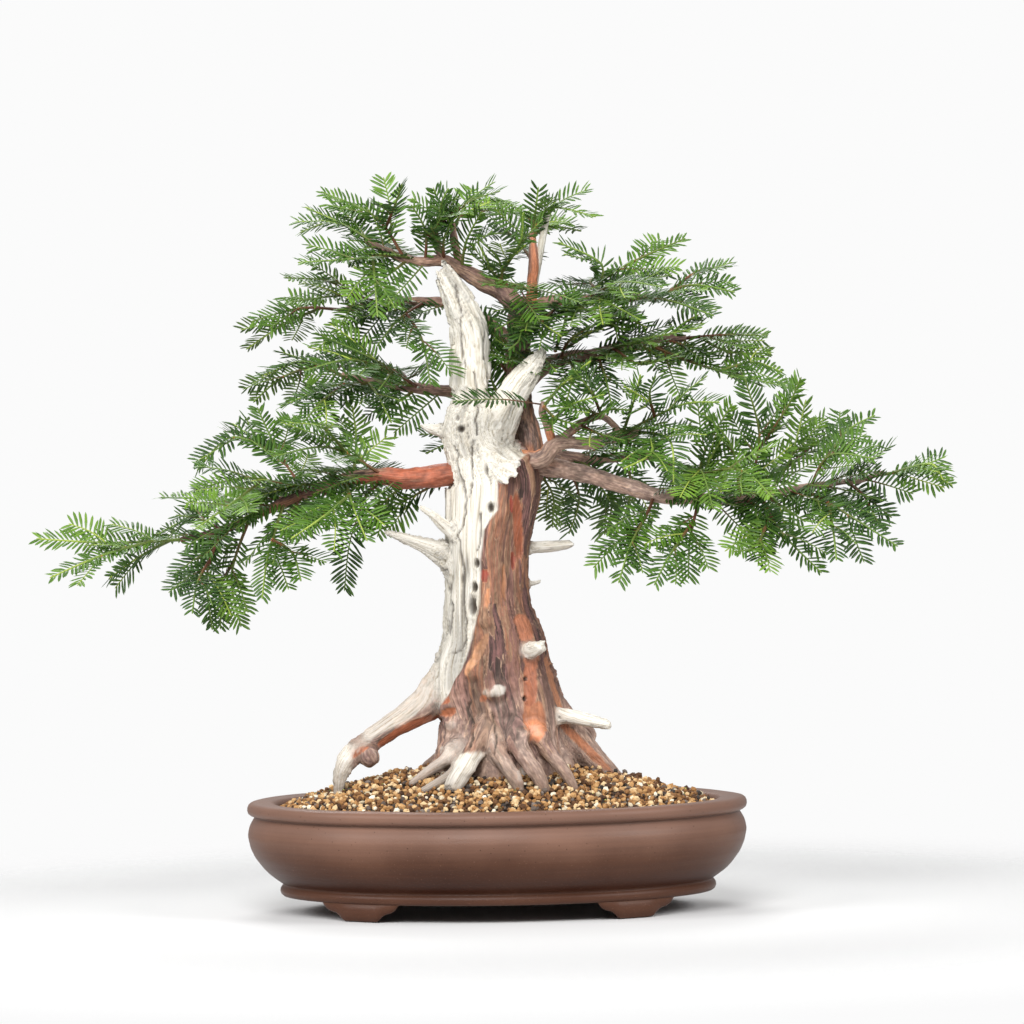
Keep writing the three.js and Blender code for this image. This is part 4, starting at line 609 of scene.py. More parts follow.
def joined(shapes):
    """Several shapes as one, with their points and faces one after the other."""
    starts = np.cumsum([0] + [len(shape.points) for shape in shapes[:-1]])
    whole = Shape(np.concatenate([shape.points for shape in shapes]))
    for kind in ("quad", "tri"):
        faces = [getattr(shape, kind + "s") + start for shape, start in zip(shapes, starts)]
        setattr(whole, kind + "s", np.concatenate(faces))
        materials = [getattr(shape, kind + "_material") for shape in shapes]
        setattr(whole, kind + "_material", np.concatenate(materials))
    for name in shapes[0].values:
        whole.values[name] = np.concatenate([shape.values[name] for shape in shapes])
    return whole


def in_scene(name, data):
    """A new object in the scene, at the origin."""
    new = bpy.data.objects.new(name, data)
    bpy.context.scene.collection.objects.link(new)
    return new


def modified(piece, kind, **settings):
    """The mesh of a piece with one modifier applied."""
    modifier = piece.modifiers.new(kind, kind)
    for name, value in settings.items():
        setattr(modifier, name, value)
    mesh = bpy.data.meshes.new_from_object(piece.evaluated_get(bpy.context.evaluated_depsgraph_get()))
    piece.modifiers.clear()
    return mesh


def write_mesh(name, shape, smooth=True):
    """A Blender mesh from a shape, with each of its point values as an attribute."""
    mesh = bpy.data.meshes.new(name)
    corners = np.concatenate([shape.quads.ravel(), shape.tris.ravel()])
    totals = np.concatenate([np.full(len(shape.quads), 4), np.full(len(shape.tris), 3)])
    mesh.vertices.add(len(shape.points))
    mesh.vertices.foreach_set("co", (shape.points * MM).ravel())
    mesh.loops.add(len(corners))
    mesh.loops.foreach_set("vertex_index", corners)
    mesh.polygons.add(len(totals))
    mesh.polygons.foreach_set("loop_start", np.cumsum(totals) - totals)
    materials = np.concatenate([shape.quad_material, shape.tri_material])
    mesh.polygons.foreach_set("material_index", materials.astype(np.int32))
    mesh.polygons.foreach_set("use_smooth", np.full(len(totals), smooth))
    mesh.update(calc_edges=True)
    for key, value in shape.values.items():
        if key == "uv":
            layer = mesh.uv_layers.new(name="UVMap")
            layer.uv.foreach_set("vector", value[corners].ravel().astype(np.float32))
            continue
        kind, field = ("FLOAT_VECTOR", "vector") if value.ndim == 2 else ("FLOAT", "value")
        attribute = mesh.attributes.new(key, kind, "POINT")
        attribute.data.foreach_set(field, value.ravel().astype(np.float32))
    return mesh


def add_piece(name, shape, materials, nodes, smooth=True):
    """Puts a shape in the scene as a piece that rides on the root body and stands for CAD nodes."""
    if not len(shape.points):
        raise RuntimeError("no points in " + name)
    piece = in_scene(name, write_mesh(name, shape, smooth))
    for material in materials:
        piece.data.materials.append(material)
    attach(piece, "root")
    if nodes:
        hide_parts(*nodes)
    return piece


def grid_quads(rows, columns):
    """Faces of a grid whose columns close round. They look outwards where columns run leftwards."""
    row, column = np.meshgrid(np.arange(rows - 1), np.arange(columns), indexing="ij")
    here = row * columns + column
    beside = row * columns + (column + 1) % columns
    return np.stack([here, beside, beside + columns, here + columns], axis=-1).reshape(-1, 4)


def closed_tube(rings, material=0, **values):
    """A grid of rings (rows, columns, 3) closed at each end with a fan round the middle of the end ring."""
    rows, columns = rings.shape[:2]
    points = np.concatenate([rings.reshape(-1, 3), rings[:1].mean(axis=1), rings[-1:].mean(axis=1)])
    side = np.arange(columns)
    following = (side + 1) % columns
    last = (rows - 1) * columns
    start = np.stack([np.full(columns, rows * columns), following, side], axis=1)
    end = np.stack([np.full(columns, rows * columns + 1), last + side, last + following], axis=1)
    full = {}
    for name, value in values.items():
        value = np.asarray(value, float)
        ends = value[[0, -1]].reshape((2, -1) + value.shape[2:]).mean(axis=1)
        full[name] = np.concatenate([value.reshape((-1,) + value.shape[2:]), ends])
    return Shape(points, grid_quads(rows, columns), np.concatenate([start, end]), material, material, **full)


def circle(columns):
    """Cosine and sine of even angles round a ring."""
    angle = 2 * np.pi * np.arange(columns) / columns
    return angle, np.cos(angle), np.sin(angle)


def add_node(tree, kind, inputs=(), stops=(), **settings):
    """Adds a node with its settings, its inputs and a ramp's stops.

    An input is a value, a hex colour, an output, or a node, which stands for its first live output. Inputs go
    by name or number. MapRange: 0 value, 1 and 2 from, 3 and 4 to. Mix: 0 share, 6 and 7 colours.
    """
    node = tree.nodes.new("ShaderNode" + kind)
    for name, value in settings.items():
        setattr(node, name, value)
    for name, value in dict(inputs).items():
        if isinstance(value, bpy.types.Node):
            value = next(socket for socket in value.outputs if socket.enabled)
        if isinstance(value, bpy.types.NodeSocket):
            tree.links.new(value, node.inputs[name])
        else:
            node.inputs[name].default_value = linear(value) if isinstance(value, str) else value
    for i, (place, colour) in enumerate(stops):
        element = node.color_ramp.elements[i] if i < 2 else node.color_ramp.elements.new(place)
        element.position = place
        element.color = linear(colour)
    return node


def empty_tree(owner):
    """The node tree of a material or world, cleared, as the function that adds nodes to it."""
    owner.use_nodes = True
    owner.node_tree.nodes.clear()
    return partial(add_node, owner.node_tree)


def new_material(name):
    """A material, the function that adds nodes to it, and the place in Object coordinates."""
    material = bpy.data.materials.new(name)
    add = empty_tree(material)
    return material, add, add("TexCoord").outputs["Object"]


def oval_depth(reach):
    """Half the pot's depth at a level whose half width is reach: the wall keeps its width all round."""
    narrow = reach * (1 - POT_NARROWING / STRAIGHT_REACH)
    return np.where(reach >= STRAIGHT_REACH, reach - POT_NARROWING, narrow)


def line_points(parts, spacing):
    """A profile of several smooth lines one after the other, as reach and height at even distances."""
    pieces = [even([(r, 0, z) for r, z in part], spacing)[0][:, [0, 2]] for part in parts]
    return np.concatenate([pieces[0]] + [piece[1:] for piece in pieces[1:]])


def oval_lathe(profile, columns):
    """A profile of reach and height carried round the oval: x = reach cos a, y = depth(reach) sin a."""
    _, cosine, sine = circle(columns)
    reach = profile[:, :1]
    height = np.broadcast_to(profile[:, 1:], (len(profile), columns))
    return np.stack([reach * cosine, oval_depth(reach) * sine, height], axis=-1)


def pot_shape(settings):
    """The pot's outside, lip and inside, one profile carried round, with the slight waves of handwork."""
    outside = [[(1, SOLE_HEIGHT), (60, SOLE_HEIGHT), (168, SOLE_HEIGHT)], BAND_LINE, BELLY_LINE]
    inside = [LIP_LINE, INSIDE_LINE, [(158, FLOOR_TOP), (60, FLOOR_TOP), (1, FLOOR_TOP)]]
    profile = line_points(outside + inside, settings.smoothness / MM)
    rings = oval_lathe(profile, POT_COLUMNS)
    flat = rings.reshape(-1, 3)
    height = flat[:, 2]
    reach = np.broadcast_to(profile[:, :1], rings.shape[:2]).ravel()
    turn = np.stack([flat[:, 0] / 45, flat[:, 1] / 45, height / 30], axis=1)
    swell = settings.hand_waves / MM * noise(turn, 11) * step(23, 34, height) * step(150, 172, reach)
    wheel_lines = 0.09 * np.sin(height / 1.35 + noise(turn * 0.6, 5))
    wheel_lines = wheel_lines * step(24, 30, height) * step(78, 72, height)
    outwards = unit(np.stack([flat[:, 0], flat[:, 1] * 1.4, np.zeros(len(flat))], axis=1))
    lip = step(77.5, 79.5, height)
    flat = flat + outwards * (swell + wheel_lines * (reach > 170) - 0.35 * lip)[:, None]
    flat[:, 2] += lip * (0.35 * noise(turn * [1, 1, 0], 21) - 0.3)
    return closed_tube(flat.reshape(rings.shape))


def foot_shape(side, front):
    """One cloud foot: across it its underside follows the ogee line, and its two faces follow the oval."""
    line, _ = even([(d, 0, z) for d, z in FOOT_LINE], 1.3)
    offset = np.concatenate([-line[::-1, 0], line[1:, 0]])
    under = np.concatenate([line[::-1, 2], line[1:, 2]])
    x = side * FOOT_MIDDLE + offset
    part = np.linspace(0, 1, 13)
    round_edge = 1.4 * (np.abs(2 * part - 1) ** 8)
    inner, outer = FOOT_WALL
    reach = inner + (outer - inner) * part
    bottom = np.stack(np.broadcast_arrays(reach[None, :], under[:, None] + round_edge), axis=-1)
    top = np.stack(np.broadcast_arrays(reach[None, ::-1], np.full((len(x), 1), SOLE_HEIGHT + 3)), axis=-1)
    section = np.concatenate([bottom, top], axis=1)
    lean = 1 + 0.012 * section[..., 1] / SOLE_HEIGHT
    wide = section[..., 0] * lean
    y = oval_depth(wide) * np.sqrt(1 - np.minimum(0.98, x[:, None] / wide) ** 2)
    rings = np.stack([np.broadcast_to(x[:, None], y.shape), front * y, section[..., 1]], axis=-1)
    return closed_tube(rings if front > 0 else rings[:, ::-1])


def drilled(piece):
    """Cuts the two drainage holes with the Boolean modifier and applies it."""
    cutters = []
    _, cosine, sine = circle(32)
    for side in (-1, 1):
        ring = np.stack([side * DRAIN_PLACE + DRAIN_RADIUS * cosine, DRAIN_RADIUS * sine], axis=1)
        rings = [np.column_stack([ring, np.full(32, level)]) for level in (-4.0, FLOOR_TOP + 8)]
        cutters.append(closed_tube(np.stack(rings)))
    cutter = in_scene("drill", write_mesh("drill", joined(cutters), False))
    piece.data = modified(piece, "BOOLEAN", operation="DIFFERENCE", solver="EXACT", object=cutter)
    bpy.data.objects.remove(cutter)


def soil_reach(x, y):
    """The reach of the oval that passes through a point, by halving."""
    low, high = np.zeros(len(x)), np.full(len(x), 400.0)
    for _ in range(24):
        middle = (low + high) / 2
        outside = (x / middle) ** 2 + (y / oval_depth(middle)) ** 2 > 1
        low, high = np.where(outside, middle, low), np.where(outside, high, middle)
    return (low + high) / 2


def soil_height(reach):
    """The low mound of the soil."""
    return SOIL_EDGE + SOIL_MOUND * (1 - (reach / SOIL_REACH) ** 2)


def bed_shape():
    """The body of the soil: the pot's inside, and the mound a little under the grains."""
    floor = FLOOR_TOP + 0.4
    wall = line_points([[(1, floor), (60, floor), (157.4, floor)], INSIDE_LINE[::-1]], 3.0) - (0.5, 0)
    wall = wall[wall[:, 1] < SOIL_EDGE - 3]
    reach = np.linspace(SOIL_REACH + 1, 1, 44)
    top = np.stack([reach, soil_height(np.minimum(reach, SOIL_REACH)) - 1.6], axis=1)
    rings = oval_lathe(np.concatenate([wall, top]), BED_COLUMNS)
    flat = rings.reshape(-1, 3)
    on_top = np.arange(len(flat)) >= len(wall) * BED_COLUMNS
    flat[:, 2] += on_top * 0.9 * noise(flat / 4, 3)
    return closed_tube(flat.reshape(rings.shape))


def icosahedron():
    """The twelve corners and twenty faces of an icosahedron of radius 1."""
    g = (1 + math.sqrt(5)) / 2
    corners = [(-1, g, 0), (1, g, 0), (-1, -g, 0), (1, -g, 0), (0, -1, g), (0, 1, g), (0, -1, -g), (0, 1, -g),
        (g, 0, -1), (g, 0, 1), (-g, 0, -1), (-g, 0, 1)]
    faces = [(0, 11, 5), (0, 5, 1), (0, 1, 7), (0, 7, 10), (0, 10, 11), (1, 5, 9), (5, 11, 4), (11, 10, 2),
        (10, 7, 6), (7, 1, 8), (3, 9, 4), (3, 4, 2), (3, 2, 6), (3, 6, 8), (3, 8, 9), (4, 9, 5), (2, 4, 11),
        (6, 2, 10), (8, 6, 7), (9, 8, 1)]
    return unit(np.array(corners, float)), np.array(faces)


def grain_shape(centres, sizes, squash, chance):
    """Broken grains: icosahedra with their corners drawn in or out, stretched and turned at random."""
    corners, faces = icosahedron()
    count = len(centres)
    pulled = corners[None] * chance.uniform(0.74, 1.14, (count, 12, 1))
    pulled = pulled * chance.uniform(squash, 1.15, (count, 1, 3))
    axis = unit(chance.normal(size=(count, 3)))
    angle = chance.uniform(0, 2 * np.pi, count)[:, None, None]
    turned = pulled * np.cos(angle) + np.cross(axis[:, None], pulled) * np.sin(angle)
    turned += axis[:, None] * (pulled @ axis[..., None]) * (1 - np.cos(angle))
    points = centres[:, None] + turned * sizes[:, None, None]
    tris = faces[None] + 12 * np.arange(count)[:, None, None]
    tone = np.repeat(chance.uniform(0, 1, count), 12)
    return Shape(points, tris=tris, tone=tone)


def grain_places(spacing, chance, clear_of):
    """Places for grains on the mound: a jittered triangular net inside the rim, clear of the wood."""
    across = np.arange(-SOIL_REACH, SOIL_REACH, spacing)
    along = np.arange(-SOIL_REACH, SOIL_REACH, spacing * 0.866)
    x, y = np.meshgrid(across, along)
    x = x + spacing / 2 * (np.arange(len(along)) % 2)[:, None]
    x = x.ravel() + chance.uniform(-JITTER, JITTER, x.size) * spacing
    y = y.ravel() + chance.uniform(-JITTER, JITTER, y.size) * spacing
    reach = soil_reach(x, y)
    kept = reach < SOIL_REACH + 0.6
    centres = np.stack([x, y, soil_height(np.minimum(reach, SOIL_REACH))], axis=1)[kept]
    return centres[nearness(centres, clear_of) > 0.96]


def nearness(points, paths):
    """How far each point is from the nearest limb, in that limb's own half widths."""
    best = np.full(len(points), FAR)
    for path in paths:
        _, across, deep, along = path.place(points)
        beyond = np.abs(along) / 6
        best = np.minimum(best, np.sqrt(across ** 2 + deep ** 2 + np.where(beyond > 1, beyond, 0) ** 2))
    return best


def limb_rings(path, columns, ragged=0.0, lumps=0.0, fluted=False, grown=0.0):
    """Rings along a limb: centre + across w cos a + depth t sin a. Broken ends run on in splinters."""
    angle, cosine, sine = circle(columns)
    part = (path.run / path.length)[:, None]
    swell = np.ones((len(path.run), columns))
    if lumps:
        place = [1.7 * cosine, 1.7 * sine, path.run[:, None] / 15]
        place = np.stack([np.broadcast_to(value, swell.shape) for value in place], axis=-1)
        swell += lumps * rough(place.reshape(-1, 3), 2, 33).reshape(swell.shape)
    if fluted:
        swell += FLUTE_SHARE * (0.4 + (1 - part)) * np.cos(FLUTE_TWIST * part - TRUNK_FLUTES * angle)
    wide = (path.width + grown)[:, None] * swell
    deep = (path.thick + grown)[:, None] * swell
    rings = path.centre[:, None] + path.across[:, None] * (wide * cosine)[..., None]
    rings = rings + path.depth[:, None] * (deep * sine)[..., None]
    if ragged:
        ring = np.stack([3.4 * cosine, 3.4 * sine, np.full(columns, path.length)], axis=1)
        reach = ragged * noise(ring, 31) * step(0.55, 1.0, part)
        rings = rings + path.forward[:, None] * reach[..., None]
    return rings


def fused(shape, voxel):
    """One skin round limbs that run into each other: Blender's voxel remesh, applied."""
    lump = in_scene("lump", write_mesh("lump", shape))
    skin = modified(lump, "REMESH", mode="VOXEL", voxel_size=voxel * MM)
    points = np.empty(3 * len(skin.vertices))
    skin.vertices.foreach_get("co", points)
    corners = np.empty(len(skin.loops), np.int64)
    skin.loops.foreach_get("vertex_index", corners)
    bpy.data.objects.remove(lump)
    bpy.data.meshes.remove(skin)
    return Shape(points.reshape(-1, 3) / MM, corners.reshape(-1, 4))


def spread_to_points(corners, values, count):
    """Sums a value of each face over the corners of the face."""
    return np.bincount(corners.ravel(), weights=np.repeat(values, corners.shape[1]), minlength=count)


def outward(shape):
    """The outward direction at each point: the sum of the directions of the faces round it."""
    a, b, c, d = (shape.points[shape.quads[:, k]] for k in range(4))
    faces = np.cross(c - a, d - b)
    sums = [spread_to_points(shape.quads, faces[:, k], len(shape.points)) for k in range(3)]
    return unit(np.stack(sums, axis=1))


def relaxed(shape, strength, rounds):
    """Moves each point towards the middle of its neighbours by its own strength, in several rounds."""
    quads = shape.quads
    ends = np.concatenate([quads[:, [0, 1]], quads[:, [1, 2]], quads[:, [2, 3]], quads[:, [3, 0]]])
    count = len(shape.points)
    neighbours = np.bincount(ends[:, 0], minlength=count)
    points = shape.points.copy()
    for _ in range(rounds):
        sums = [np.bincount(ends[:, 0], weights=points[ends[:, 1], k], minlength=count) for k in range(3)]
        middle = np.stack(sums, axis=1) / np.maximum(neighbours, 1)[:, None]
        points += strength[:, None] * (middle - points)
    return Shape(points, quads)


def limb_field(points, paths, blend):
    """For each point, each limb's share of it, and its place along the fibres: round the limb, and along it.

    A limb's share falls off with the distance from its middle line in its own half widths.
    """
    distance = np.full((len(paths), len(points)), FAR)
    local = np.zeros((len(paths), len(points), 3))
    for i, path in enumerate(paths):
        reach = path.width.max() + 25
        low, high = path.centre.min(axis=0) - reach, path.centre.max(axis=0) + reach
        inside = np.flatnonzero(((points > low) & (points < high)).all(axis=1))
        for some in np.array_split(inside, 1 + len(inside) // BATCH):
            near, across, deep, along = path.place(points[some])
            distance[i, some] = np.hypot(across, deep) + np.maximum(0, np.abs(along) - 5) / path.width[near]
            local[i, some] = path.fibre(near, across, deep, along)
        # A limb's fibres run on from the trunk's where it leaves the trunk
        if i:
            local[i] += paths[0].fibre(*paths[0].place(path.centre[:1])[:3])
    share = np.exp(-blend * (distance - distance.min(axis=0)))
    share /= share.sum(axis=0)
    fibre = (share[..., None] * local).sum(axis=0)
    return share, fibre


def meeting(share):
    """Where two limbs run into each other: 0 well inside one limb, 1 where both have an equal share."""
    return np.clip(4 * np.sort(share, axis=0)[-2:].prod(axis=0), 0, 1)


def patch_mask(points, patches):
    """How much each point lies in one of the front patches, and the warmth of the one it lies in."""
    best = np.zeros(len(points))
    warmth = np.zeros(len(points))
    torn = 0.22 * rough(points / [3.5, 3.5, 12], 2, 41)
    for x, z, half_width, half_height, lean, warm in patches:
        away_z = (points[:, 2] - z) / half_height
        away_x = (points[:, 0] - x - lean * (points[:, 2] - z)) / half_width
        inside = step(0.0, 0.16, 1 - np.sqrt(np.abs(away_x) ** 2.4 + np.abs(away_z) ** 2.4) + torn)
        warmth = np.where(inside > best, warm, warmth)
        best = np.maximum(best, inside)
    return best * (points[:, 1] < 6), warmth


def crack_depth(points, lines, width):
    """How near each point is to one of the crack lines on the front, from 0 far off to 1 on the line."""
    best = np.zeros(len(points))
    flat = points[:, [0, 2]]
    for line in lines:
        for start, end in zip(line[:-1], line[1:]):
            start, end = np.array(start, float), np.array(end, float)
            t = np.clip(((flat - start) @ (end - start)) / ((end - start) @ (end - start)), 0, 1)
            away = np.linalg.norm(flat - start - t[:, None] * (end - start), axis=1)
            best = np.maximum(best, 1 - step(0.2, 1, away / width))
    return best * (points[:, 1] < 0)


def bark_relief(fibre, settings):
    """Live yew bark: long flutes, ridges between them, and flaking plates that lift at their edges."""
    flutes = ridged(fibre / [15, 15, 150], 1, 51)
    ridges = ridged(fibre / [6.5, 6.5, 60], 2, 55)
    drift = np.stack([noise(fibre / 9, 61), noise(fibre / 9, 62), 3 * noise(fibre / 12, 63)], axis=1)
    inside, value = plates((fibre + 2.2 * drift) / [8.5, 8.5, 30], 65)
    flake = step(0.02, 0.16, inside) * (0.35 + 0.65 * value)
    flaked = settings.flake_depth / MM * (flake + 0.5 * rough(fibre / [3.4, 3.4, 9], 2, 67))
    deep = settings.flute_depth / MM
    return deep * (flutes - 0.6) + 0.45 * deep * (ridges - 0.5) + flaked


def deadwood_relief(fibre, torn, settings):
    """Weathered heartwood: bundles of fibres with long hollows and narrow checks, and torn blocks."""
    inside, value = plates(fibre / [7, 7, 38], 85)
    blocks = torn * (2.0 * (value - 0.5) - 0.6 * (1 - step(0.0, 0.12, inside)))
    hollows = ridged(fibre / [13, 13, 120], 2, 71)
    bundles = ridged(fibre / [4.2, 4.2, 75], 2, 75)
    check = 1 - step(0.0, 0.06, np.abs(rough(fibre / [7.5, 7.5, 110], 2, 79)))
    relief = 1.6 * (hollows - 0.6) + 0.75 * (bundles - 0.5) - 0.9 * check + blocks
    return settings.grain_depth / MM * relief, check


def wood_values(points, share, fibre, paths, names):
    """How bare each point is: deadwood limbs, the leg's upper side, and the trunk left of the bark's edge."""
    heights, edges = np.array(BARK_EDGE, float).T
    x, y, z = points.T
    front = 1 - step(-12, 12, y)
    edge = front * np.interp(z, heights, edges) + (1 - front) * BARK_EDGE_BACK
    away = edge - x + 2.6 * rough(points / [9, 9, 26], 2, 81)
    bare = np.zeros(len(points))
    for i, name in enumerate(names):
        if name == "trunk":
            own = step(-1.2, 1.2, away)
        elif name == "leg":
            path = paths[i]
            near = path.place(points)[0]
            top = unit(UP - path.forward[:, 2:] * path.forward)
            rise = ((points - path.centre[near]) * top[near]).sum(axis=1) / path.thick[near]
            own = 0.6 * step(-0.15, 0.25, rise + 0.45 * rough(fibre / [5, 5, 26], 2, 83))
            own = np.maximum(own, 0.9 * step(-112, -119, x + 2 * noise(points / 4, 89)))
        elif name == "white_cut_root":
            own = step(-4, 2, 128 - z + 3 * noise(points / 5, 87))
        else:
            own = 1.0 if name in DEADWOOD else BARE_ROOTS.get(name, 0.0)
        bare += share[i] * own
    return np.clip(bare, 0, 1), away


def scarred(points, relief, front, bare):
    """Cuts the front's hollows and cracks into the relief and adds its knobs. Gives their painted shade, and
    what is bare.
    """
    dark = np.zeros(len(points))
    x_of, y_of, z_of = points.T
    for x, z, half_width, half_height, deep in HOLLOWS:
        away = ((x_of - x) / half_width) ** 2 + ((z_of - z) / half_height) ** 2
        dip = np.exp(-away ** 2) * front * (y_of < 0)
        relief += 1.3 * np.exp(-(away - 2.2) ** 2) * front - deep * dip
        # Painted shade: each hole is painted darker the deeper it is
        dark = np.maximum(dark, dip * min(1, deep / 3.5))
    lumps = 1.4 * rough(points / 3.5, 2, 93)
    edge = 0.22 * noise(points / 3.2, 91)
    for x, z, radius, rise, white in KNOBS:
        away = ((x_of - x) ** 2 + (z_of - z) ** 2) / radius ** 2
        knob = np.exp(-away ** 1.5) * front * (y_of < -15)
        relief += knob * (rise + lumps) - 0.8 * np.exp(-(away - 1.6) ** 2) * front
        bare = np.maximum(bare, white * step(0.72, 0.86, knob + edge))
    # The broken end of the leaning root is gnarled
    relief += 1.5 * step(-108, -118, x_of) * rough(points / 4.5, 2, 94)
    wobble = np.outer(noise(points / 7, 95), (1.6, 0, 0))
    crack = crack_depth(points + wobble, CRACKS, 1.1) * front
    relief -= 2.2 * crack
    # Painted shade along the cracks, added to the holes' painted shade
    return np.maximum(dark, 0.75 * crack), bare


def trunk_shape(settings):
    """The trunk, its roots and its deadwood, grown together into one skin with relief along the fibres."""
    routes = {"trunk": TRUNK, **DEADWOOD, **ROOTS}
    names = list(routes)
    limbs = []
    for name, route in routes.items():
        ragged, lumps = TORN.get(name, (0.0, ROOT_LUMPS if name in ROOTS else 0.0))
        fluted = name == "trunk"
        rings = limb_rings(Path(route, 2.0), 96 if fluted else 32, ragged, lumps, fluted, -0.5)
        limbs.append(closed_tube(rings))
    skin = fused(joined(limbs), settings.fineness / MM)
    paths = [Path(route, 4.0) for route in routes.values()]
    share, _ = limb_field(skin.points, paths, LIMB_BLEND)
    skin = relaxed(skin, 0.12 + 0.55 * meeting(share), 14)
    points = skin.points
    share, fibre = limb_field(points, paths, LIMB_BLEND)
    bare, away = wood_values(points, share, fibre, paths, names)
    normal = outward(skin)
    torn = np.clip(sum(share[names.index(name)] for name in TORN), 0, 1)
    dead, checks = deadwood_relief(fibre, torn, settings)
    peeled, warmth = patch_mask(points, PEELED)
    peeled *= (1 - bare) * step(-0.2, 0.3, -normal[:, 1])
    live = bark_relief(fibre, settings) * (1 - 0.75 * peeled) - 0.8 * peeled
    slim = np.clip(sum(part * path.width.mean() for part, path in zip(share, paths)) / 22, 0.3, 1)
    relief = (bare * dead + (1 - bare) * live) * slim
    # Live bark rolls up in a lip along the deadwood
    callus = 2.6 * np.exp(-((away + 5) / 3.6) ** 2) * (share[0] > 0.5)
    relief += callus * (1 - bare) - 1.0 * bare * (share[0] > 0.5)
    scars, bare = scarred(points, relief, step(0.0, 0.35, -normal[:, 1]), bare)
    points = points + normal * relief[:, None]
    height = points[:, 2]
    # Low on the trunk old bark greys in patches, and painted shade darkens the folds between the roots
    patchy = 0.4 + 0.7 * step(-0.2, 0.3, rough(points / [11, 11, 17], 2, 97))
    pale = 0.8 * step(200, 130, height) * np.maximum(patchy, 0.95 * step(38, 56, points[:, 0]))
    painted_fold_shade = meeting(share) * (0.45 + 0.55 * ridged(points / [7, 7, 16], 2, 98))
    # Painted shade in the holes, the cracks and the dead wood's narrow checks
    dark = np.clip(np.maximum(scars, 0.28 * checks * bare), 0, 1)
    # Painted shade in the folds between the roots, low down
    dark = np.maximum(dark, 0.75 * painted_fold_shade * step(132, 104, height))
    # The relief's height, from which the material paints shade where the wood is low and light on its crests
    wear_and_relief_shade = np.clip(0.5 + relief / 5, 0, 1)
    return Shape(points, skin.quads, bare=bare, peeled=peeled, warm=warmth, relief=wear_and_relief_shade, hollow=dark,
        pale=pale, fibre=fibre)


def branch_shape(settings):
    """The live branches: tubes with fine lengthwise ridges, knuckles and flaking bark."""
    tubes = []
    for number, (name, route) in enumerate(BRANCHES.items()):
        path = Path(route, 1.3)
        girth = path.width.mean()
        shape = (len(path.run), 36 if girth > 4.5 else 18)
        _, cosine, sine = circle(shape[1])
        around = np.broadcast_to(np.stack([cosine, sine], axis=1) * girth, shape + (2,))
        along = np.broadcast_to(path.run[:, None, None], shape + (1,))
        fibre = np.concatenate([around, along], axis=2).reshape(-1, 3) + 40.0 * number
        relief = 0.09 * girth * (ridged(fibre / [3.6, 3.6, 30], 2, 101) - 0.5)
        knuckles = 0.26 * girth * rough(fibre / [7, 7, 15], 3, 105)
        relief += knuckles + 0.3 * rough(fibre / [2.2, 2.2, 5], 2, 109)
        inside, value = plates(fibre / [5, 5, 16], 107)
        relief += 0.35 * step(0.02, 0.2, inside) * value * min(1, girth / 6)
        rings = limb_rings(path, shape[1])
        out = unit(rings - path.centre[:, None])
        rings = rings + out * relief.reshape(*shape, 1) * settings.branch_roughness
        smooth_share, warm, pale = BRANCH_BARK.get(name, (0.2, 0.35, 0.3))
        smooth_here = smooth_share * (1 - 0.8 * step(0.3, 0.55, np.repeat(path.run / path.length, shape[1])))
        patch = step(0.62, 0.72, 0.25 + smooth_here + 0.5 * rough(fibre / [7, 7, 40], 2, 111))
        # The relief's height, from which the material paints shade where the bark is low and light on its
        # crests
        wear_and_relief_shade = np.clip(0.62 + relief / 1.6, 0, 1)
        zero = np.zeros(shape)
        tubes.append(closed_tube(rings, bare=zero, peeled=patch.reshape(shape), warm=zero + warm,
            pale=zero + pale, relief=wear_and_relief_shade.reshape(shape), hollow=zero, fibre=1.7 * fibre.reshape(*shape, 3)))
    return joined(tubes)


def arc(start, way, length, bend):
    """A short route: start + length (t way + t^2 bend), at four values of t from 0 to 1."""
    t = np.linspace(0, 1, 4)[:, None]
    return start + length * (t * unit(way) + t ** 2 * bend)


def turned(vectors, axis, angle):
    """A direction turned about an axis at right angles to it."""
    return vectors * math.cos(angle) + np.cross(axis, vectors) * math.sin(angle)


def stem_shape(path, start, end, age, tone, sides):
    """A twig of a few sides that narrows from start to end and closes at its tip in a small bud."""
    rows = len(path.run)
    part = path.run / path.length
    _, cosine, sine = circle(sides)
    size = start + (end - start) * part
    size = np.concatenate([size[:-1], size[-1] * np.array([1.3, 1.1, 0.3])])
    tip = path.centre[-1:] + path.forward[-1:] * np.array([[0.5], [1.4], [2.3]])
    centre = np.concatenate([path.centre[:-1], tip])
    ring = np.r_[np.arange(rows - 1), [rows - 1] * 3]
    spokes = path.across[ring][:, None] * cosine[:, None] + path.depth[ring][:, None] * sine[:, None]
    rings = centre[:, None] + size[:, None, None] * spokes
    zero = np.zeros((len(size), sides))
    age = zero + age[ring][:, None]
    return closed_tube(rings, TWIG_BARK, tone=zero + tone, age=age, uv=np.stack([zero, zero], axis=-1))


def scale_shape(path, size, tone):
    """The ring of old bud scales where a shoot leaves its twig."""
    centre = path.centre[0] + path.forward[0] * np.array([[-0.3], [0.8], [2.0]])
    _, cosine, sine = circle(4)
    width = size * np.array([0.8, 1.45, 0.7])[:, None, None]
    rings = centre[:, None] + width * (path.across[0] * cosine[:, None] + path.depth[0] * sine[:, None])
    zero = np.zeros((3, 4))
    return closed_tube(rings, BUD_SCALES, tone=zero + tone, age=zero, uv=np.stack([zero, zero], axis=-1))


def needle_faces():
    """Faces of a needle: each ring has an edge, a midrib and an edge. The flat underside is apart."""
    upper, under = [], []
    for ring in range(2):
        left, rib, right = 3 * ring, 3 * ring + 1, 3 * ring + 2
        upper += [(left, left + 3, rib + 3, rib), (rib, rib + 3, right + 3, right)]
        under += [(right, right + 3, left + 3, left)]
    return (np.array(upper), np.array(under), np.array([(6, 9, 7), (7, 9, 8)]),
        np.array([(8, 9, 6), (0, 1, 2)]))


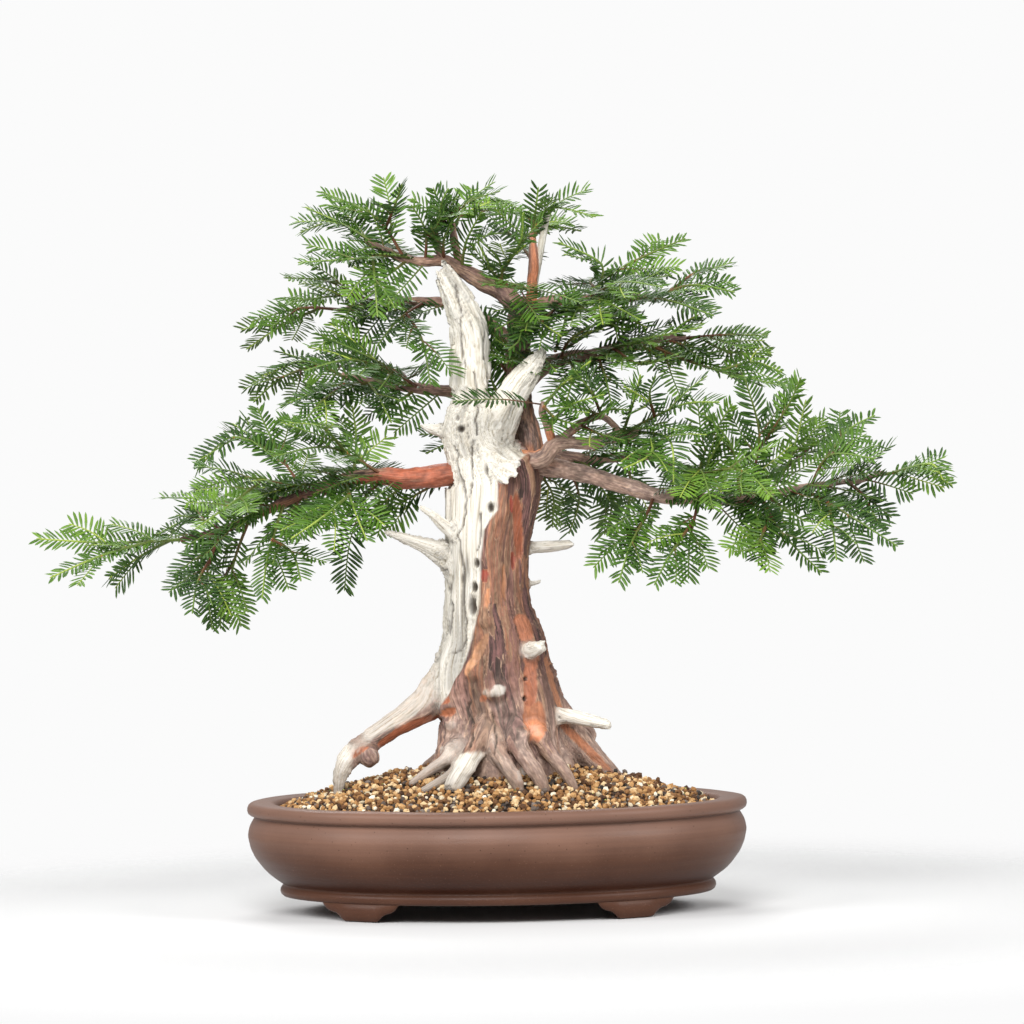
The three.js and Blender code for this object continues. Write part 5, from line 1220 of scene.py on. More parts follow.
def needles_shape(path, bare, settings, seed, young, tone):
    """Two ranks of needles along a shoot: each a tapered blade with a raised midrib, swept forward and bent.

    A needle's middle line is root + length (t d + t^2 (sweep forward + droop down)), for t from 0 to 1.
    """
    rows = max(3, round((path.length - bare) / (settings.needle_pitch / MM)))
    number = np.arange(2 * rows)
    number = number[draw(number, seed + 6.6) > 0.035]
    count = len(number)
    share = (number // 2 + 0.5) / rows
    side = np.where(number % 2, 1.0, -1.0)
    chance, chance_two, chance_three = (draw(number + 31.7 * seed, salt) for salt in (5.3, 9.1, 2.2))
    runs = bare + (path.length - bare) * np.clip(share + (0.25 * side + 0.16 * (chance - 0.5)) / rows, 0, 1)
    root, *ways = path.at(runs)
    forward, across, depth = (unit(way) for way in ways)
    vigour = 0.86 + 0.28 * draw(seed, 4.7)
    shorter = 1 - 0.45 * share ** 5 - 0.3 * (1 - share) ** 5
    length = settings.needle_length / MM * vigour * shorter * (0.86 + 0.26 * chance)
    spread = np.radians(settings.needle_spread - 32 * share ** 2.5 + 11 * (chance_two - 0.5))
    lift = 0.1 + 0.22 * chance_three + 0.16 * (draw(seed, 8.2) - 0.5)
    direction = across * (side * np.sin(spread))[:, None] + forward * np.cos(spread)[:, None]
    direction = unit(direction + depth * lift[:, None])
    roll = np.radians(34 * (draw(number, seed + 2.2) - 0.5))[:, None]
    facing = unit(depth - (depth * direction).sum(axis=1, keepdims=True) * direction)
    blade = np.cross(facing, direction)
    facing, blade = facing * np.cos(roll) + blade * np.sin(roll), blade * np.cos(roll) - facing * np.sin(roll)
    bend = forward * (0.2 * chance - 0.06)[:, None] - depth * (0.26 * chance_two - 0.02)[:, None]
    t = np.append(NEEDLE_ALONG, 1.0)[None, :, None]
    middle = root[:, None] + length[:, None, None] * (t * direction[:, None] + t ** 2 * bend[:, None])
    half = settings.needle_width / MM / 2 * (0.84 + 0.24 * chance_two)[:, None, None]
    wide = half * NEEDLE_WIDE[None, :, None] * blade[:, None]
    deep = 0.34 * NEEDLE_DEEP[None, :, None] * facing[:, None]
    rings = np.stack([middle[:, :3] - wide, middle[:, :3] + deep, middle[:, :3] + wide], axis=2)
    points = np.concatenate([rings.reshape(count, 9, 3), middle[:, 3:]], axis=1)
    starts = 10 * np.arange(count)[:, None, None]
    faces = [(kind + starts).reshape(-1, kind.shape[1]) for kind in needle_faces()]
    upper, under, upper_tip, under_tip = faces
    quad_material = np.repeat([UPPER_SKIN, UNDERSIDE], [len(upper), len(under)])
    tri_material = np.repeat([UPPER_SKIN, UNDERSIDE], [len(upper_tip), len(under_tip)])
    along = np.append(np.repeat(NEEDLE_ALONG, 3), 1.0)
    uv = np.stack([np.append(np.tile([0.0, 0.5, 1.0], 3), 0.5), along], axis=1)
    needle_tone = np.clip(tone + 0.42 * (draw(number, 3 * seed + 0.4) - 0.5), 0, 1)
    age = np.repeat(np.clip(young + 0.25 * share ** 3, 0, 1), 10)
    quads, tris = np.concatenate([upper, under]), np.concatenate([upper_tip, under_tip])
    return Shape(points.reshape(-1, 3), quads[:, ::-1], tris[:, ::-1], quad_material, tri_material,
        tone=np.repeat(needle_tone, 10), age=age, uv=np.tile(uv, (count, 1)))


def side_shoot(parent, run, side, length, seed):
    """The route of a small shoot: it leaves its parent at an angle, bends forward and sags a little."""
    start, forward, across, depth = parent.at(run)
    angle = math.radians(46 + 16 * (draw(seed, 1.1) - 0.5) - 14 * run / parent.length)
    lift = 0.7 * (draw(seed, 2.3) - 0.45)
    way = across * side * math.sin(angle) + forward * math.cos(angle) + depth * lift
    bend = forward * 0.24 - UP * 0.16 * draw(seed, 7.4) - depth * 0.12 * draw(seed, 4.9)
    return arc(start, way, length, bend)


def spray(path, facing, bare, settings, seed, young, tone, branched):
    """One shoot with its needles, and on its inner part small shoots to one side and the other in turn."""
    start, end = (1.5, 0.6) if branched else (0.75, 0.45)
    age = np.clip(young + 0.4 * step(bare, path.length * 0.8 + 1, path.run), 0, 1)
    parts = [stem_shape(path, start, end, age, tone, 5 if branched else 4)]
    if draw(seed, 9.9) > 0.4:
        parts.append(scale_shape(path, start, tone))
    parts += [needles_shape(path, bare, settings, seed, young, tone)]
    if not branched:
        return parts
    way = unit(path.centre[-1] - path.centre[0])
    first, last = 0.08 * path.length + 3, settings.branched_share * path.length
    count = round((last - first) / (settings.shoot_pitch / MM))
    for i in range(count):
        run = first + (last - first) * (i + 0.5) / count
        small = seed * 13.7 + i
        length = settings.shoot_length / MM * (0.7 + 0.55 * draw(small, 6.1))
        length = min(length, 0.62 * (path.length - run) + 5)
        side = 1 if (i + round(10 * seed)) % 2 else -1
        turn = math.radians(46 * (draw(small, 5.5) - 0.5))
        twig = Path(side_shoot(path, run, side, length, small), 8.0, turned(facing, way, turn))
        own = max(young, 0.95 if draw(small, 3.9) > 0.85 else 0.3 * draw(small, 2.9))
        own_tone = tone + 0.3 * (draw(small, 4.4) - 0.5)
        parts += spray(twig, facing, 1.5, settings, small, own, own_tone, False)
    return parts


def branchlet_shape(name, carriers, settings):
    """One leafy branchlet: main and side shoots on the CAD routes, each with small shoots both ways."""
    parts = []
    lines = carriers
    for k, row in enumerate(BRANCHLETS[name]):
        seed = 10 * list(BRANCHLETS).index(name) + k
        route = np.reshape(row, (3, 3)).astype(float)
        route[0] = lines[np.argmin(((lines - route[0]) ** 2).sum(axis=1))]
        middle = route[1]
        line, _ = even(route, 4.0)
        way = unit(line[len(line) // 2 + 1] - line[len(line) // 2 - 1])
        level = HIGH_FACE if middle[2] > 385 and abs(way[2]) < 0.6 else FRONT_FACE
        facing = BACK_FACE if middle[1] > 40 else level
        if name in SINGLE:
            facing = FRONT_FACE
        else:
            facing = turned(facing, way, math.radians(32 * (draw(seed, 3) - 0.5)))
        path = Path(route, 6.0, facing)
        if k == 0:
            lines = path.at(np.linspace(0, path.length, 200))[0]
        tone = 0.15 + 0.6 * draw(seed, 7.7)
        young = max(0.4 if name in BRIGHT else 0.0, 0.35 * draw(seed, 8.8))
        bare = path.length * (0.2 if k == 0 else 0.1)
        parts += spray(path, facing, bare, settings, seed, young, tone, name not in SINGLE)
    return joined(parts)


def sprigs_shape(places, settings):
    """Short leafy shoots straight from the branches, most to the front, and every third along its face."""
    parts = []
    for number, (name, first, last, count) in enumerate(places):
        path = Path(BRANCHES[name], 3.0)
        for i in range(count):
            seed = 500 + 40 * number + i
            run = path.length * (first + (last - first) * (i + 0.5) / count)
            start, forward, across, depth = path.at(run)
            turn = math.radians(95) * (2 * draw(seed, 6.3) - 1) + (math.pi if i % 5 == 4 else 0)
            way = 0.75 * forward + math.sin(turn) * across - math.cos(turn) * depth + 0.15 * UP
            if i % 3 == 1:
                way = forward + 0.5 * math.sin(turn) * across - 0.35 * depth
            length = settings.sprig_length / MM * (0.7 + 0.6 * draw(seed, 1.7))
            route = arc(start, way, length, 0.25 * forward - 0.22 * UP)
            facing = FRONT_FACE if way[1] < 0.2 or i % 3 == 1 else BACK_FACE
            facing = turned(facing, unit(way), math.radians(70 * (draw(seed, 3.3) - 0.5)))
            tone, young = 0.15 + 0.5 * draw(seed, 7.7), 0.4 * draw(seed, 8.8)
            branched = draw(seed, 2.8) > 0.7
            parts += spray(Path(route, 6.0, facing), facing, 4.0, settings, seed, young, tone, branched)
    return joined(parts)


def inner_shape(routes, seed, settings):
    """Leafy shoots along given routes inside the crown, with small shoots both ways."""
    parts = []
    for seed, row in enumerate(routes, seed + 1):
        route = np.reshape(row, (3, 3)).astype(float)
        facing = BACK_FACE if route[2, 1] > 40 else FRONT_FACE
        way = unit(route[2] - route[0])
        facing = turned(facing, way, math.radians(50 * (draw(seed, 3.3) - 0.5)))
        tone, young = 0.15 + 0.5 * draw(seed, 7.7), 0.4 * draw(seed, 8.8)
        parts += spray(Path(route, 6.0, facing), facing, 5.0, settings, seed, young, tone, True)
    return joined(parts)


def stoneware():
    """Unglazed stoneware, thrown and hand finished: dense brown clay with a satin skin and fine grit."""
    settings = bpy.context.scene.bonsai_pot
    material, add, place = new_material("unglazed_stoneware")
    clouds = add("TexNoise", {"Vector": place, "Scale": 14.0, "Detail": 4.0})
    # Wheel lines every few millimetres: the noise is stretched round the pot and close up the wall
    band = add("Mapping", {"Vector": place, "Scale": (6.0, 6.0, 420.0)})
    lines = add("TexNoise", {"Vector": band, "Scale": 1.0, "Detail": 3.0})
    # Grit of about 0.5 mm, drawn at 1.1 mm so that it shows
    grit = add("TexNoise", {"Vector": place, "Scale": 900.0, "Detail": 2.0})
    blend = add("Math", {0: lines, 1: 0.45, 2: clouds}, operation="MULTIPLY_ADD")
    tint = add("MapRange", {0: blend, 1: 0.45, 2: 1.0})
    base = add("Mix", {0: tint, 6: (*settings.clay_dark, 1), 7: (*settings.clay, 1)},
        data_type="RGBA")
    # Painted shade: the wall is painted darker and redder towards the bottom, where it turns in above the
    # foot band
    level = add("SeparateXYZ", {"Vector": place})
    uneven = add("Math", {0: clouds, 1: 0.012, 2: level.outputs[2]}, operation="MULTIPLY_ADD")
    low = add("MapRange", {0: uneven, 1: 0.03, 2: 0.072, 3: 0.92, 4: 0.0})
    # The foot band and the feet stand out of the wall's painted shade
    band_light = add("MapRange", {0: level.outputs[2], 1: 0.0225, 2: 0.026, 3: 0.6, 4: 1.0})
    painted_low_shade = add("Math", {0: low, 1: band_light}, operation="MULTIPLY")
    # Painted highlight: the shoulder under the lip is painted paler and greyer
    shoulder = add("MapRange", {0: uneven, 1: 0.055, 2: 0.078, 3: 0.0, 4: 0.2})
    speck = add("MapRange", {0: grit, 1: 0.66, 2: 0.8})
    for share, colour in ((painted_low_shade, "#331509"), (shoulder, "#a08479"), (speck, "#7b5a4c")):
        base = add("Mix", {0: share, 6: base, 7: colour}, data_type="RGBA")
    # Painted shade: the pinholes are dark dots of colour, with no dip cut in the surface
    pits = add("TexVoronoi", {"Vector": place, "Scale": 190.0, "Randomness": 1.0})
    pit = add("MapRange", {0: pits, 1: 0.03, 2: 0.12})
    dark = add("Mix", {0: pit, 6: "#3a261d", 7: base}, data_type="RGBA")
    height = add("Math", {0: lines, 1: 0.8, 2: grit}, operation="MULTIPLY_ADD")
    bump = add("Bump", {"Height": height, "Strength": 0.35, "Distance": 0.0005})
    dull = add("MapRange", {0: clouds, 1: 0.3, 2: 0.7, 3: 0.33, 4: 0.42})
    shader = add("BsdfPrincipled",
        {"Base Color": dark, "Roughness": dull, "Normal": bump, "Specular IOR Level": 0.16})
    add("OutputMaterial", {0: shader})
    return material


def polypropylene():
    """Black polypropylene, moulded as an open net, with a faint plastic sheen and a fine skin."""
    material, add, place = new_material("black_polypropylene_net")
    skin = add("TexNoise", {"Vector": place, "Scale": 1500.0, "Detail": 2.0})
    base = add("Mix", {0: skin, 6: "#141414", 7: "#2a2a2b"}, data_type="RGBA")
    bump = add("Bump", {"Height": skin, "Strength": 0.2, "Distance": 0.0002})
    shader = add("BsdfPrincipled", {"Base Color": base, "Roughness": 0.5, "Normal": bump, "IOR": 1.49})
    add("OutputMaterial", {0: shader})
    return material


def mottled(name):
    """A dull natural surface: a fine mottle on top of the mesh's own value picks a colour from a ramp.

    Place on the ramp = share x mottle + own value - shift.
    """
    own, share, shift, scale, detail, colours, strength, depth, roughness = MOTTLED[name]
    material, add, place = new_material(name)
    mottle = add("TexNoise", {"Vector": place, "Scale": scale, "Detail": detail})
    value = add("Attribute", attribute_name=own).outputs["Fac"]
    mixed = add("Math", {0: mottle, 1: share, 2: value}, operation="MULTIPLY_ADD")
    shifted = add("Math", {0: mixed, 1: shift}, operation="SUBTRACT")
    colour = add("ValToRGB", {"Fac": shifted}, colours)
    bump = add("Bump", {"Height": mottle, "Strength": strength, "Distance": depth})
    shader = add("BsdfPrincipled", {"Base Color": colour, "Roughness": roughness, "Normal": bump})
    add("OutputMaterial", {0: shader})
    return material


def yew_wood():
    """Yew wood: flaking purple-brown bark with orange under it, and bleached, cream-grey heartwood.

    The bark's cells are about 10 by 58 mm and its fibres 1.7 mm wide; the dead wood's grain is 1.1 mm wide.
    All follow the fibre attribute, which runs round each limb and along it in millimetres.
    """
    colours = bpy.context.scene.bonsai_wood
    material, add, place = new_material("yew_bark_and_bleached_heartwood")
    fibre = add("Attribute", attribute_name="fibre").outputs["Vector"]
    bare, peeled, warm, relief, hollow, wear_and_relief_shade = (
        add("Attribute", attribute_name=name).outputs["Fac"]
        for name in ("bare", "peeled", "warm", "relief", "hollow", "pale"))
    # Patches as wide as the bark's cells, its fibres, its chips, and the dead wood's grain
    wide, narrow, small, grain = (
        add("Mapping", {"Vector": fibre, "Scale": (1 / across, 1 / across, 1 / along)})
        for across, along in ((10, 58), (1.7, 26), (2.4, 7), (1.1, 34)))
    wander, stain, streaks, chips, lines = (
        add("TexNoise", {"Vector": vector, "Scale": scale, "Detail": detail})
        for vector, scale, detail in (
            (wide, 1.5, 3.0), (wide, 1.1, 2.0), (narrow, 1.0, 4.0), (small, 1.0, 4.0), (grain, 1.0, 5.0)))
    # Bark: long cells of their own brown with streaks, and paler rims where the flakes lift
    drift = wander.outputs["Color"]
    moved = add("VectorMath", {0: drift, 1: (1.7, 1.7, 1.7), 2: wide}, operation="MULTIPLY_ADD")
    cells = add("TexVoronoi", {"Vector": moved, "Scale": 1.0})
    seams = add("TexVoronoi", {"Vector": moved, "Scale": 1.0}, feature="DISTANCE_TO_EDGE")
    split = add("SeparateColor", {"Color": cells.outputs["Color"]})
    choose = add("Math", {0: streaks, 1: 0.9, 2: split.outputs[0]}, operation="MULTIPLY_ADD")
    choice = add("Math", {0: choose, 1: 0.45}, operation="SUBTRACT")
    bark = add("ValToRGB", {"Fac": choice}, BARK_BROWNS)
    seam = add("MapRange", {0: seams, 1: 0.0, 2: 0.04, 3: 1.0, 4: 0.0})
    lifted = add("MapRange", {0: wander, 1: 0.48, 2: 0.62, 4: 0.6})
    rim = add("Math", {0: seam, 1: lifted}, operation="MULTIPLY")
    # Chips where the thin outer bark has scaled off, and the pale grey of weathered flakes
    chipped = add("MapRange", {0: chips, 1: 0.46, 2: 0.68, 4: 0.6})
    weather = add("Math", {0: chipped, 1: wear_and_relief_shade}, operation="MULTIPLY")
    paler = add("Math", {0: wear_and_relief_shade, 1: 0.7}, operation="MULTIPLY")
    for share, colour in ((weather, "#c6ae99"), (paler, "#ad9588"), (rim, "#c3a286")):
        bark = add("Mix", {0: share, 6: bark, 7: colour}, data_type="RGBA")
    # Smooth young bark where the flakes have come away, from tan to blood orange
    under = add("ValToRGB", {"Fac": warm}, UNDER_BARK)
    faded = add("MapRange", {0: streaks, 1: 0.4, 2: 0.7, 4: 0.6})
    aged = add("Mix", {0: faded, 6: under, 7: "#8d6250"}, data_type="RGBA")
    skin = add("Mix", {0: peeled, 6: bark, 7: aged}, data_type="RGBA")
    shade = add("MapRange", {0: streaks, 1: 0.25, 2: 0.75, 3: 0.7, 4: 1.35})
    # Painted shade and painted light: the bark is darker where its relief is low and lighter on its crests
    depth = add("MapRange", {0: relief, 1: 0.0, 2: 0.75, 3: 0.42, 4: 1.2})
    light = add("Math", {0: shade, 1: depth}, operation="MULTIPLY")
    fleck = add("MapRange", {0: chips, 1: 0.3, 2: 0.7, 3: 0.72, 4: 1.3})
    lit = add("Math", {0: light, 1: fleck}, operation="MULTIPLY")
    live = add("VectorMath", {0: skin, "Scale": lit}, operation="SCALE")
    # Dead wood: fine grain, stains, and painted shade in its hollows, where its relief is low
    pale = add("ValToRGB", {"Fac": lines}, DEAD_GREYS)
    stained = add("MapRange", {0: stain, 1: 0.55, 2: 0.75, 4: 0.4})
    tinged = add("Mix", {0: stained, 6: pale, 7: "#c6b9a0"}, data_type="RGBA")
    # Painted shade: the dead wood is darker where its relief is low
    low = add("MapRange", {0: relief, 1: 0.05, 2: 0.42, 3: 0.66, 4: 1.0})
    dead = add("VectorMath", {0: tinged, "Scale": low}, operation="SCALE")
    wood = add("Mix", {0: bare, 6: live, 7: dead}, data_type="RGBA")
    # Painted shade in the front's holes and cracks, the dead wood's checks and the folds between the roots
    dark = add("Mix", {0: hollow, 6: wood, 7: "#453b31"}, data_type="RGBA")
    # Splashed soil on the lowest 25 mm of the roots
    level = add("SeparateXYZ", {"Vector": place})
    ragged = add("Math", {0: streaks, 1: -0.03, 2: level.outputs[2]}, operation="MULTIPLY_ADD")
    soiled = add("MapRange", {0: ragged, 1: 0.085, 2: 0.112, 3: 0.6, 4: 0.0})
    splashed = add("Mix", {0: soiled, 6: dark, 7: "#5f4a39"}, data_type="RGBA")
    tint = (*colours.wood_tint, 1)
    warmed = add("Mix", {0: 1.0, 6: splashed, 7: tint}, data_type="RGBA", blend_type="MULTIPLY")
    bark_skin = add("Math", {0: chips, 1: 0.8, 2: streaks}, operation="MULTIPLY_ADD")
    height = add("Mix", {0: bare, 2: bark_skin, 3: lines}, data_type="FLOAT")
    bump = add("Bump", {"Height": height, "Strength": 0.8, "Distance": 0.0012})
    gloss = add("MapRange", {0: peeled, 3: 0.78, 4: 0.5})
    shader = add("BsdfPrincipled", {"Base Color": warmed, "Roughness": gloss, "Normal": bump})
    add("OutputMaterial", {0: shader})
    return material


def needle_material(name, stops, roughness, rib_tint):
    """Yew needle: its skin runs from dark green to the yellow-green of new growth, with a paler midrib."""
    material, add, place = new_material(name)
    tone, age = (add("Attribute", attribute_name=name).outputs["Fac"] for name in ("tone", "age"))
    uv = add("SeparateXYZ", {"Vector": add("UVMap")})
    mottle = add("TexNoise", {"Vector": place, "Scale": 160.0, "Detail": 2.0})
    mixed = add("Math", {0: mottle, 1: 0.3, 2: tone}, operation="MULTIPLY_ADD")
    aged = add("Math", {0: age, 1: 0.6, 2: mixed}, operation="MULTIPLY_ADD")
    scaled = add("Math", {0: aged, 1: 0.6}, operation="MULTIPLY")
    colour = add("ValToRGB", {"Fac": scaled}, stops)
    away = add("Math", {0: uv.outputs[0], 1: 0.5}, operation="SUBTRACT")
    near = add("Math", {0: away}, operation="ABSOLUTE")
    rib = add("MapRange", {0: near, 1: 0.03, 2: 0.11, 3: 0.55, 4: 0.0})
    ribbed = add("Mix", {0: rib, 6: colour, 7: rib_tint}, data_type="RGBA")
    shader = add("BsdfPrincipled",
        {"Base Color": ribbed, "Roughness": roughness, "Specular IOR Level": 0.25})
    add("OutputMaterial", {0: shader})
    return material


def paper():
    """Matt studio paper: even and pale round the pot, and clearer further out, so that no edge shows."""
    settings = bpy.context.scene.bonsai_stage
    material, add, place = new_material("matt_studio_paper")
    length = add("VectorMath", {0: place}, operation="LENGTH")
    fade = add("MapRange", {0: length, 1: 0.22, 2: 0.8}, interpolation_type="SMOOTHSTEP")
    shader = add("BsdfPrincipled",
        {"Base Color": (*settings.floor_colour, 1), "Roughness": 0.9})
    clear = add("BsdfTransparent")
    mixed = add("MixShader", {0: fade, 1: shader, 2: clear})
    add("OutputMaterial", {0: mixed})
    return material


class PotSettings(bpy.types.PropertyGroup):
    """Sizes and colours of the pot."""

    clay: FloatVectorProperty(name="Clay", description="Colour of the fired clay where it is lightest",
        default=linear("#6e4d3c")[:3], **COLOUR)
    clay_dark: FloatVectorProperty(name="Dark clay", description="Colour of the clay in its darker clouds",
        default=linear("#553a2d")[:3], **COLOUR)
    smoothness: FloatProperty(name="Profile spacing", description="Distance between points of the profile",
        default=0.0023, min=0.0005, **DISTANCE)
    hand_waves: FloatProperty(name="Hand waves", description="How far the wall swells in and out",
        default=0.0006, min=0, **DISTANCE)


class SoilSettings(bpy.types.PropertyGroup):
    """Sizes of the soil grains."""

    grain: FloatProperty(name="Grain", description="Usual width of a grain",
        default=0.0049, min=0.001, **DISTANCE)
    seed: IntProperty(name="Seed", description="Picks another scatter of grains", default=7, min=0)


class WoodSettings(bpy.types.PropertyGroup):
    """Relief and colour of the bark and the deadwood."""

    fineness: FloatProperty(name="Skin spacing", description="Distance between points of the trunk's skin",
        default=0.0015, min=0.0008, **DISTANCE)
    flute_depth: FloatProperty(name="Flute depth", description="Depth of the bark's long flutes",
        default=0.0028, min=0, **DISTANCE)
    flake_depth: FloatProperty(name="Flake depth", description="Thickness of the flaking bark plates",
        default=0.001, min=0, **DISTANCE)
    grain_depth: FloatProperty(name="Grain depth", description="Depth of the deadwood's grain",
        default=0.0023, min=0, **DISTANCE)
    branch_roughness: FloatProperty(name="Branch roughness", description="How rough the branches are",
        default=1.0, min=0)
    wood_tint: FloatVectorProperty(name="Wood tint", description="Colour that all the wood is toned with",
        default=(1.0, 1.0, 1.0), **COLOUR)


class FoliageSettings(bpy.types.PropertyGroup):
    """Sizes of the shoots and needles."""

    needle_length: FloatProperty(name="Needle length", description="Length of a full needle",
        default=0.0152, min=0.005, **DISTANCE)
    needle_width: FloatProperty(name="Needle width", description="Width of a full needle",
        default=0.0024, min=0.0005, **DISTANCE)
    needle_pitch: FloatProperty(name="Needle pitch", description="Distance between needles on one side",
        default=0.0035, min=0.001, **DISTANCE)
    needle_spread: FloatProperty(name="Needle spread", description="Angle between a needle and its twig",
        default=70.0, min=10, max=90)
    shoot_length: FloatProperty(name="Small shoot length", description="Length of the small shoots",
        default=0.036, min=0.01, **DISTANCE)
    sprig_length: FloatProperty(name="Sprig length", description="Length of shoots on the branches",
        default=0.034, min=0.01, **DISTANCE)
    shoot_pitch: FloatProperty(name="Small shoot pitch", description="Distance between small shoots",
        default=0.0195, min=0.004, **DISTANCE)
    branched_share: FloatProperty(name="Branched share", description="Inner share with small shoots",
        default=0.62, min=0, max=1)


class StageSettings(bpy.types.PropertyGroup):
    """The floor, the light and the camera."""

    floor_colour: FloatVectorProperty(name="Floor", description="Colour of the floor",
        default=linear("#d6d6d6")[:3], **COLOUR)
    lens: FloatProperty(name="Lens", description="Focal length of the camera", default=184.6, min=10,
        subtype="DISTANCE_CAMERA", unit="CAMERA")
    background: FloatProperty(name="Background", description="Brightness of the plain background",
        default=0.965, min=0)
    ambient: FloatProperty(name="Ambient", description="Strength of the even light all round",
        default=0.42, min=0)
    softbox: FloatProperty(name="Softbox", description="Power of the main soft light", default=50.0, min=0,
        subtype="POWER", unit="POWER")


class BONSAI_OT_pot(bpy.types.Operator):
    """Makes the oval stoneware pot with its lip, foot band, four cloud feet and drainage holes"""

    bl_idname = "bonsai.pot"
    bl_label = "Pot"

    def execute(self, context):
        settings = context.scene.bonsai_pot
        clay = stoneware()
        wall = add_piece("pot_wall", pot_shape(settings), [clay], ["pot"])
        drilled(wall)
        feet = joined([foot_shape(side, front) for side in (-1, 1) for front in (-1, 1)])
        add_piece("pot_feet", feet, [clay], ["pot"])
        return {"FINISHED"}


class BONSAI_OT_drain_nets(bpy.types.Operator):
    """Gives the two nets over the drainage holes their black plastic"""

    bl_idname = "bonsai.drain_nets"
    bl_label = "Drain nets"

    def execute(self, context):
        plastic = polypropylene()
        for name in ("drain_mesh_left", "drain_mesh_right"):
            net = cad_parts[name]
            net.data.materials.clear()
            net.data.materials.append(plastic)
        return {"FINISHED"}


class BONSAI_OT_soil(bpy.types.Operator):
    """Fills the pot with soil and covers it with grains of fired clay, pumice and lava, and a little moss"""

    bl_idname = "bonsai.soil"
    bl_label = "Soil"

    def execute(self, context):
        settings = context.scene.bonsai_soil
        chance = np.random.default_rng(settings.seed)
        size = settings.grain / MM
        add_piece("soil_bed", bed_shape(), [mottled("damp_soil_and_shade")], ["soil"])
        wood = [Path(route, 5.0) for route in [TRUNK, *DEADWOOD.values(), *ROOTS.values()]]
        places = grain_places(0.9 * size, chance, wood)
        places[:, 2] += chance.uniform(-1.4, 1.0, len(places))
        extra = places[chance.uniform(0, 1, len(places)) < 0.13] + (0.4 * size, 0.3 * size, 0.45 * size)
        places = np.concatenate([places, extra])
        places = places[soil_reach(places[:, 0], places[:, 1]) < SOIL_REACH + 0.8]
        kind = chance.uniform(0, 1, len(places))
        sizes = size / 2 * chance.uniform(0.62, 1.3, len(places))
        for name, low, high, squash in GRAIN_KINDS:
            kept = (kind >= low) & (kind < high)
            grains = grain_shape(places[kept], sizes[kept], squash, chance)
            add_piece(name, grains, [mottled("crushed_" + name)], ["soil"], smooth=False)
        tufts = places[chance.uniform(0, 1, len(places)) < 0.022] + (0, 0, 1.2)
        tufts = grain_shape(tufts, np.full(len(tufts), 0.26 * size), 0.5, chance)
        add_piece("moss_tufts", tufts, [mottled("dry_moss")], ["soil"], smooth=False)
        return {"FINISHED"}


class BONSAI_OT_wood(bpy.types.Operator):
    """Makes the trunk with its deadwood and roots as one skin, and the live branches"""

    bl_idname = "bonsai.wood"
    bl_label = "Trunk and branches"

    def execute(self, context):
        settings = context.scene.bonsai_wood
        wood = yew_wood()
        add_piece("trunk_and_deadwood", trunk_shape(settings), [wood], ["trunk"])
        add_piece("live_branches", branch_shape(settings), [wood], ["trunk"])
        return {"FINISHED"}


class BONSAI_OT_foliage(bpy.types.Operator):
    """Grows the needled shoots of every branchlet on the live branches"""

    bl_idname = "bonsai.foliage"
    bl_label = "Branchlets"

    def execute(self, context):
        settings = context.scene.bonsai_foliage
        # In the order of the numbers UPPER_SKIN, UNDERSIDE, TWIG_BARK and BUD_SCALES
        materials = [
            needle_material("yew_needle_upper_skin", UPPER_GREENS, 0.4, "#6c8c44"),
            needle_material("yew_needle_underside", UNDER_GREENS, 0.6, "#476a34"),
            mottled("yew_twig_bark"), mottled("yew_bud_scales"),
        ]
        carriers = np.concatenate([Path(route, 2.0).centre for route in BRANCHES.values()])
        for name in BRANCHLETS:
            shape = branchlet_shape(name, carriers, settings)
            add_piece(name + "_shoots", shape, materials, [name], smooth=False)
        for name, places in SPRIGS.items():
            add_piece(name, sprigs_shape(places, settings), materials, [], smooth=False)
        for number, (name, routes) in enumerate(INNER_SHOOTS.items()):
            shape = inner_shape(routes, 900 + 50 * number, settings)
            add_piece(name, shape, materials, [], smooth=False)
        return {"FINISHED"}


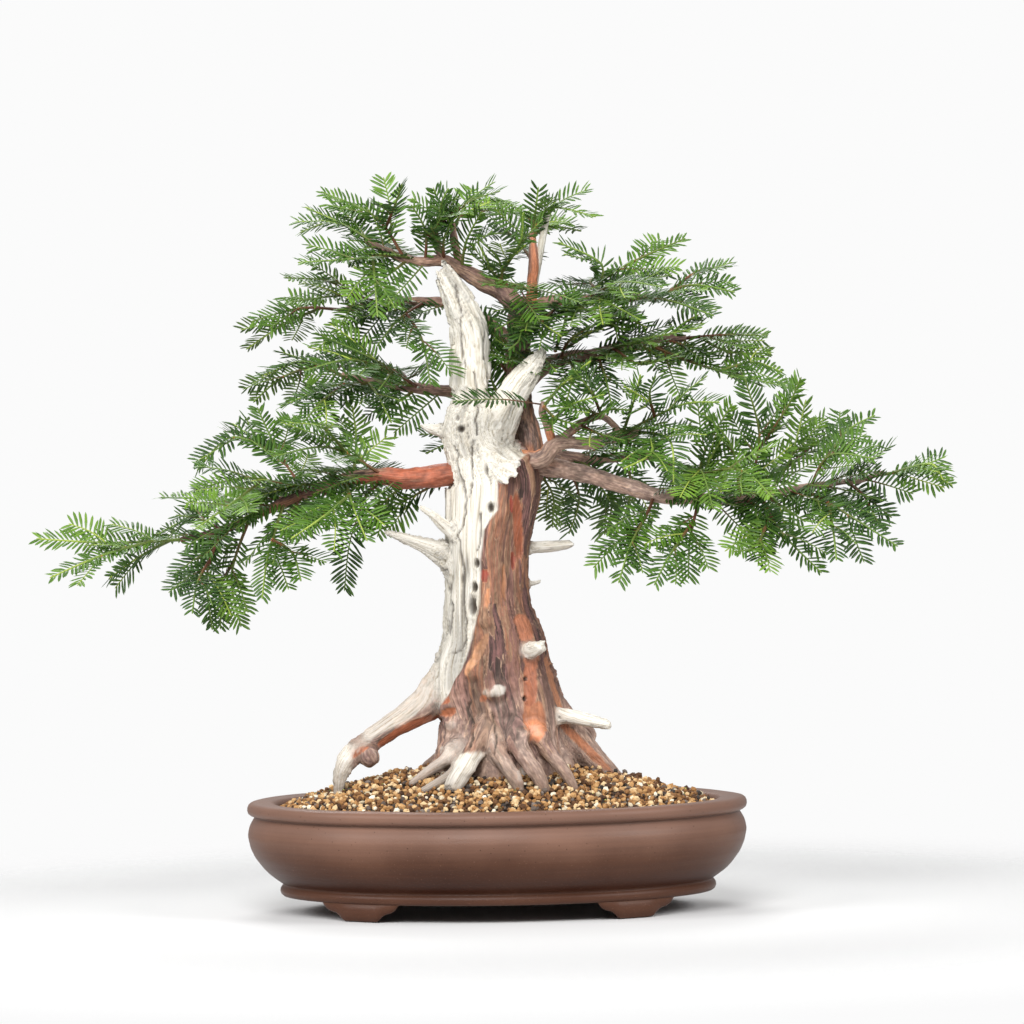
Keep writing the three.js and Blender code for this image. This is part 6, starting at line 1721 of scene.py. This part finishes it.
class BONSAI_OT_stage(bpy.types.Operator):
    """Sets up the pale floor, the soft studio light and the camera"""

    bl_idname = "bonsai.stage"
    bl_label = "Stage"

    def execute(self, context):
        settings = context.scene.bonsai_stage
        scene = context.scene
        _, cosine, sine = circle(64)
        reach = np.array(SHEET_REACH)[:, None]
        rings = np.stack([reach * cosine, reach * sine, np.full((3, 64), SHEET_LEVEL)], axis=-1)
        rings = np.concatenate([rings, rings[::-1] - (0, 0, 2)])
        floor = in_scene("floor", write_mesh("floor", closed_tube(rings[::-1])))
        floor.data.materials.append(paper())
        world = bpy.data.worlds.new("Even light")
        add = empty_tree(world)
        seen = add("LightPath").outputs["Is Camera Ray"]
        even_light = add("Background", {"Color": "#ffffff", "Strength": settings.ambient})
        plain = add("Background", {"Color": "#ffffff", "Strength": settings.background})
        add("OutputWorld", {0: add("MixShader", {0: seen, 1: even_light, 2: plain})})
        scene.world = world
        for name, place, width, share in LAMPS:
            lamp = bpy.data.lights.new(name, "AREA")
            lamp.shape = "DISK"
            lamp.size = width
            lamp.energy = settings.softbox * share
            holder = in_scene(name, lamp)
            holder.location = place
            holder.rotation_euler = (Vector(place) - LAMP_AIM).to_track_quat("Z", "Y").to_euler()
        data = bpy.data.cameras.new("camera")
        data.lens = settings.lens
        data.clip_end = 50
        camera = in_scene("camera", data)
        camera.location = CAMERA_PLACE
        down = Matrix.Rotation(math.radians(90 - CAMERA_DOWN), 4, "X")
        camera.rotation_euler = (down @ Matrix.Rotation(math.radians(CAMERA_LEAN), 4, "Z")).to_euler()
        scene.camera = camera
        scene.view_settings.view_transform = "Standard"
        return {"FINISHED"}


OPERATORS = (BONSAI_OT_stage, BONSAI_OT_pot, BONSAI_OT_drain_nets, BONSAI_OT_soil, BONSAI_OT_wood,
    BONSAI_OT_foliage)
SETTINGS = {
    "bonsai_pot": PotSettings, "bonsai_soil": SoilSettings, "bonsai_wood": WoodSettings,
    "bonsai_foliage": FoliageSettings, "bonsai_stage": StageSettings,
}


class BONSAI_PT_panel(bpy.types.Panel):
    """Lists the steps that build the bonsai, with the sizes and colours of each"""

    bl_idname = "BONSAI_PT_panel"
    bl_label = "Yew bonsai"
    bl_space_type = "VIEW_3D"
    bl_region_type = "UI"
    bl_category = "Bonsai"

    def draw(self, context):
        for operator in OPERATORS:
            self.layout.operator(operator.bl_idname)
        for name, group in SETTINGS.items():
            box = self.layout.box()
            for key in group.__annotations__:
                box.prop(getattr(context.scene, name), key)


def register():
    """Registers the settings, the operators and the panel."""
    for name, group in SETTINGS.items():
        bpy.utils.register_class(group)
        setattr(bpy.types.Scene, name, PointerProperty(type=group))
    for item in (*OPERATORS, BONSAI_PT_panel):
        bpy.utils.register_class(item)


def unregister():
    """Takes the panel, the operators and the settings out again."""
    for item in (BONSAI_PT_panel, *reversed(OPERATORS)):
        bpy.utils.unregister_class(item)
    for name, group in SETTINGS.items():
        delattr(bpy.types.Scene, name)
        bpy.utils.unregister_class(group)


def main():
    register()
    bpy.ops.bonsai.stage()
    bpy.ops.bonsai.pot()
    bpy.ops.bonsai.drain_nets()
    bpy.ops.bonsai.soil()
    bpy.ops.bonsai.wood()
    bpy.ops.bonsai.foliage()
    bpy.context.view_layer.update()


if __name__ == "__main__":
    main()
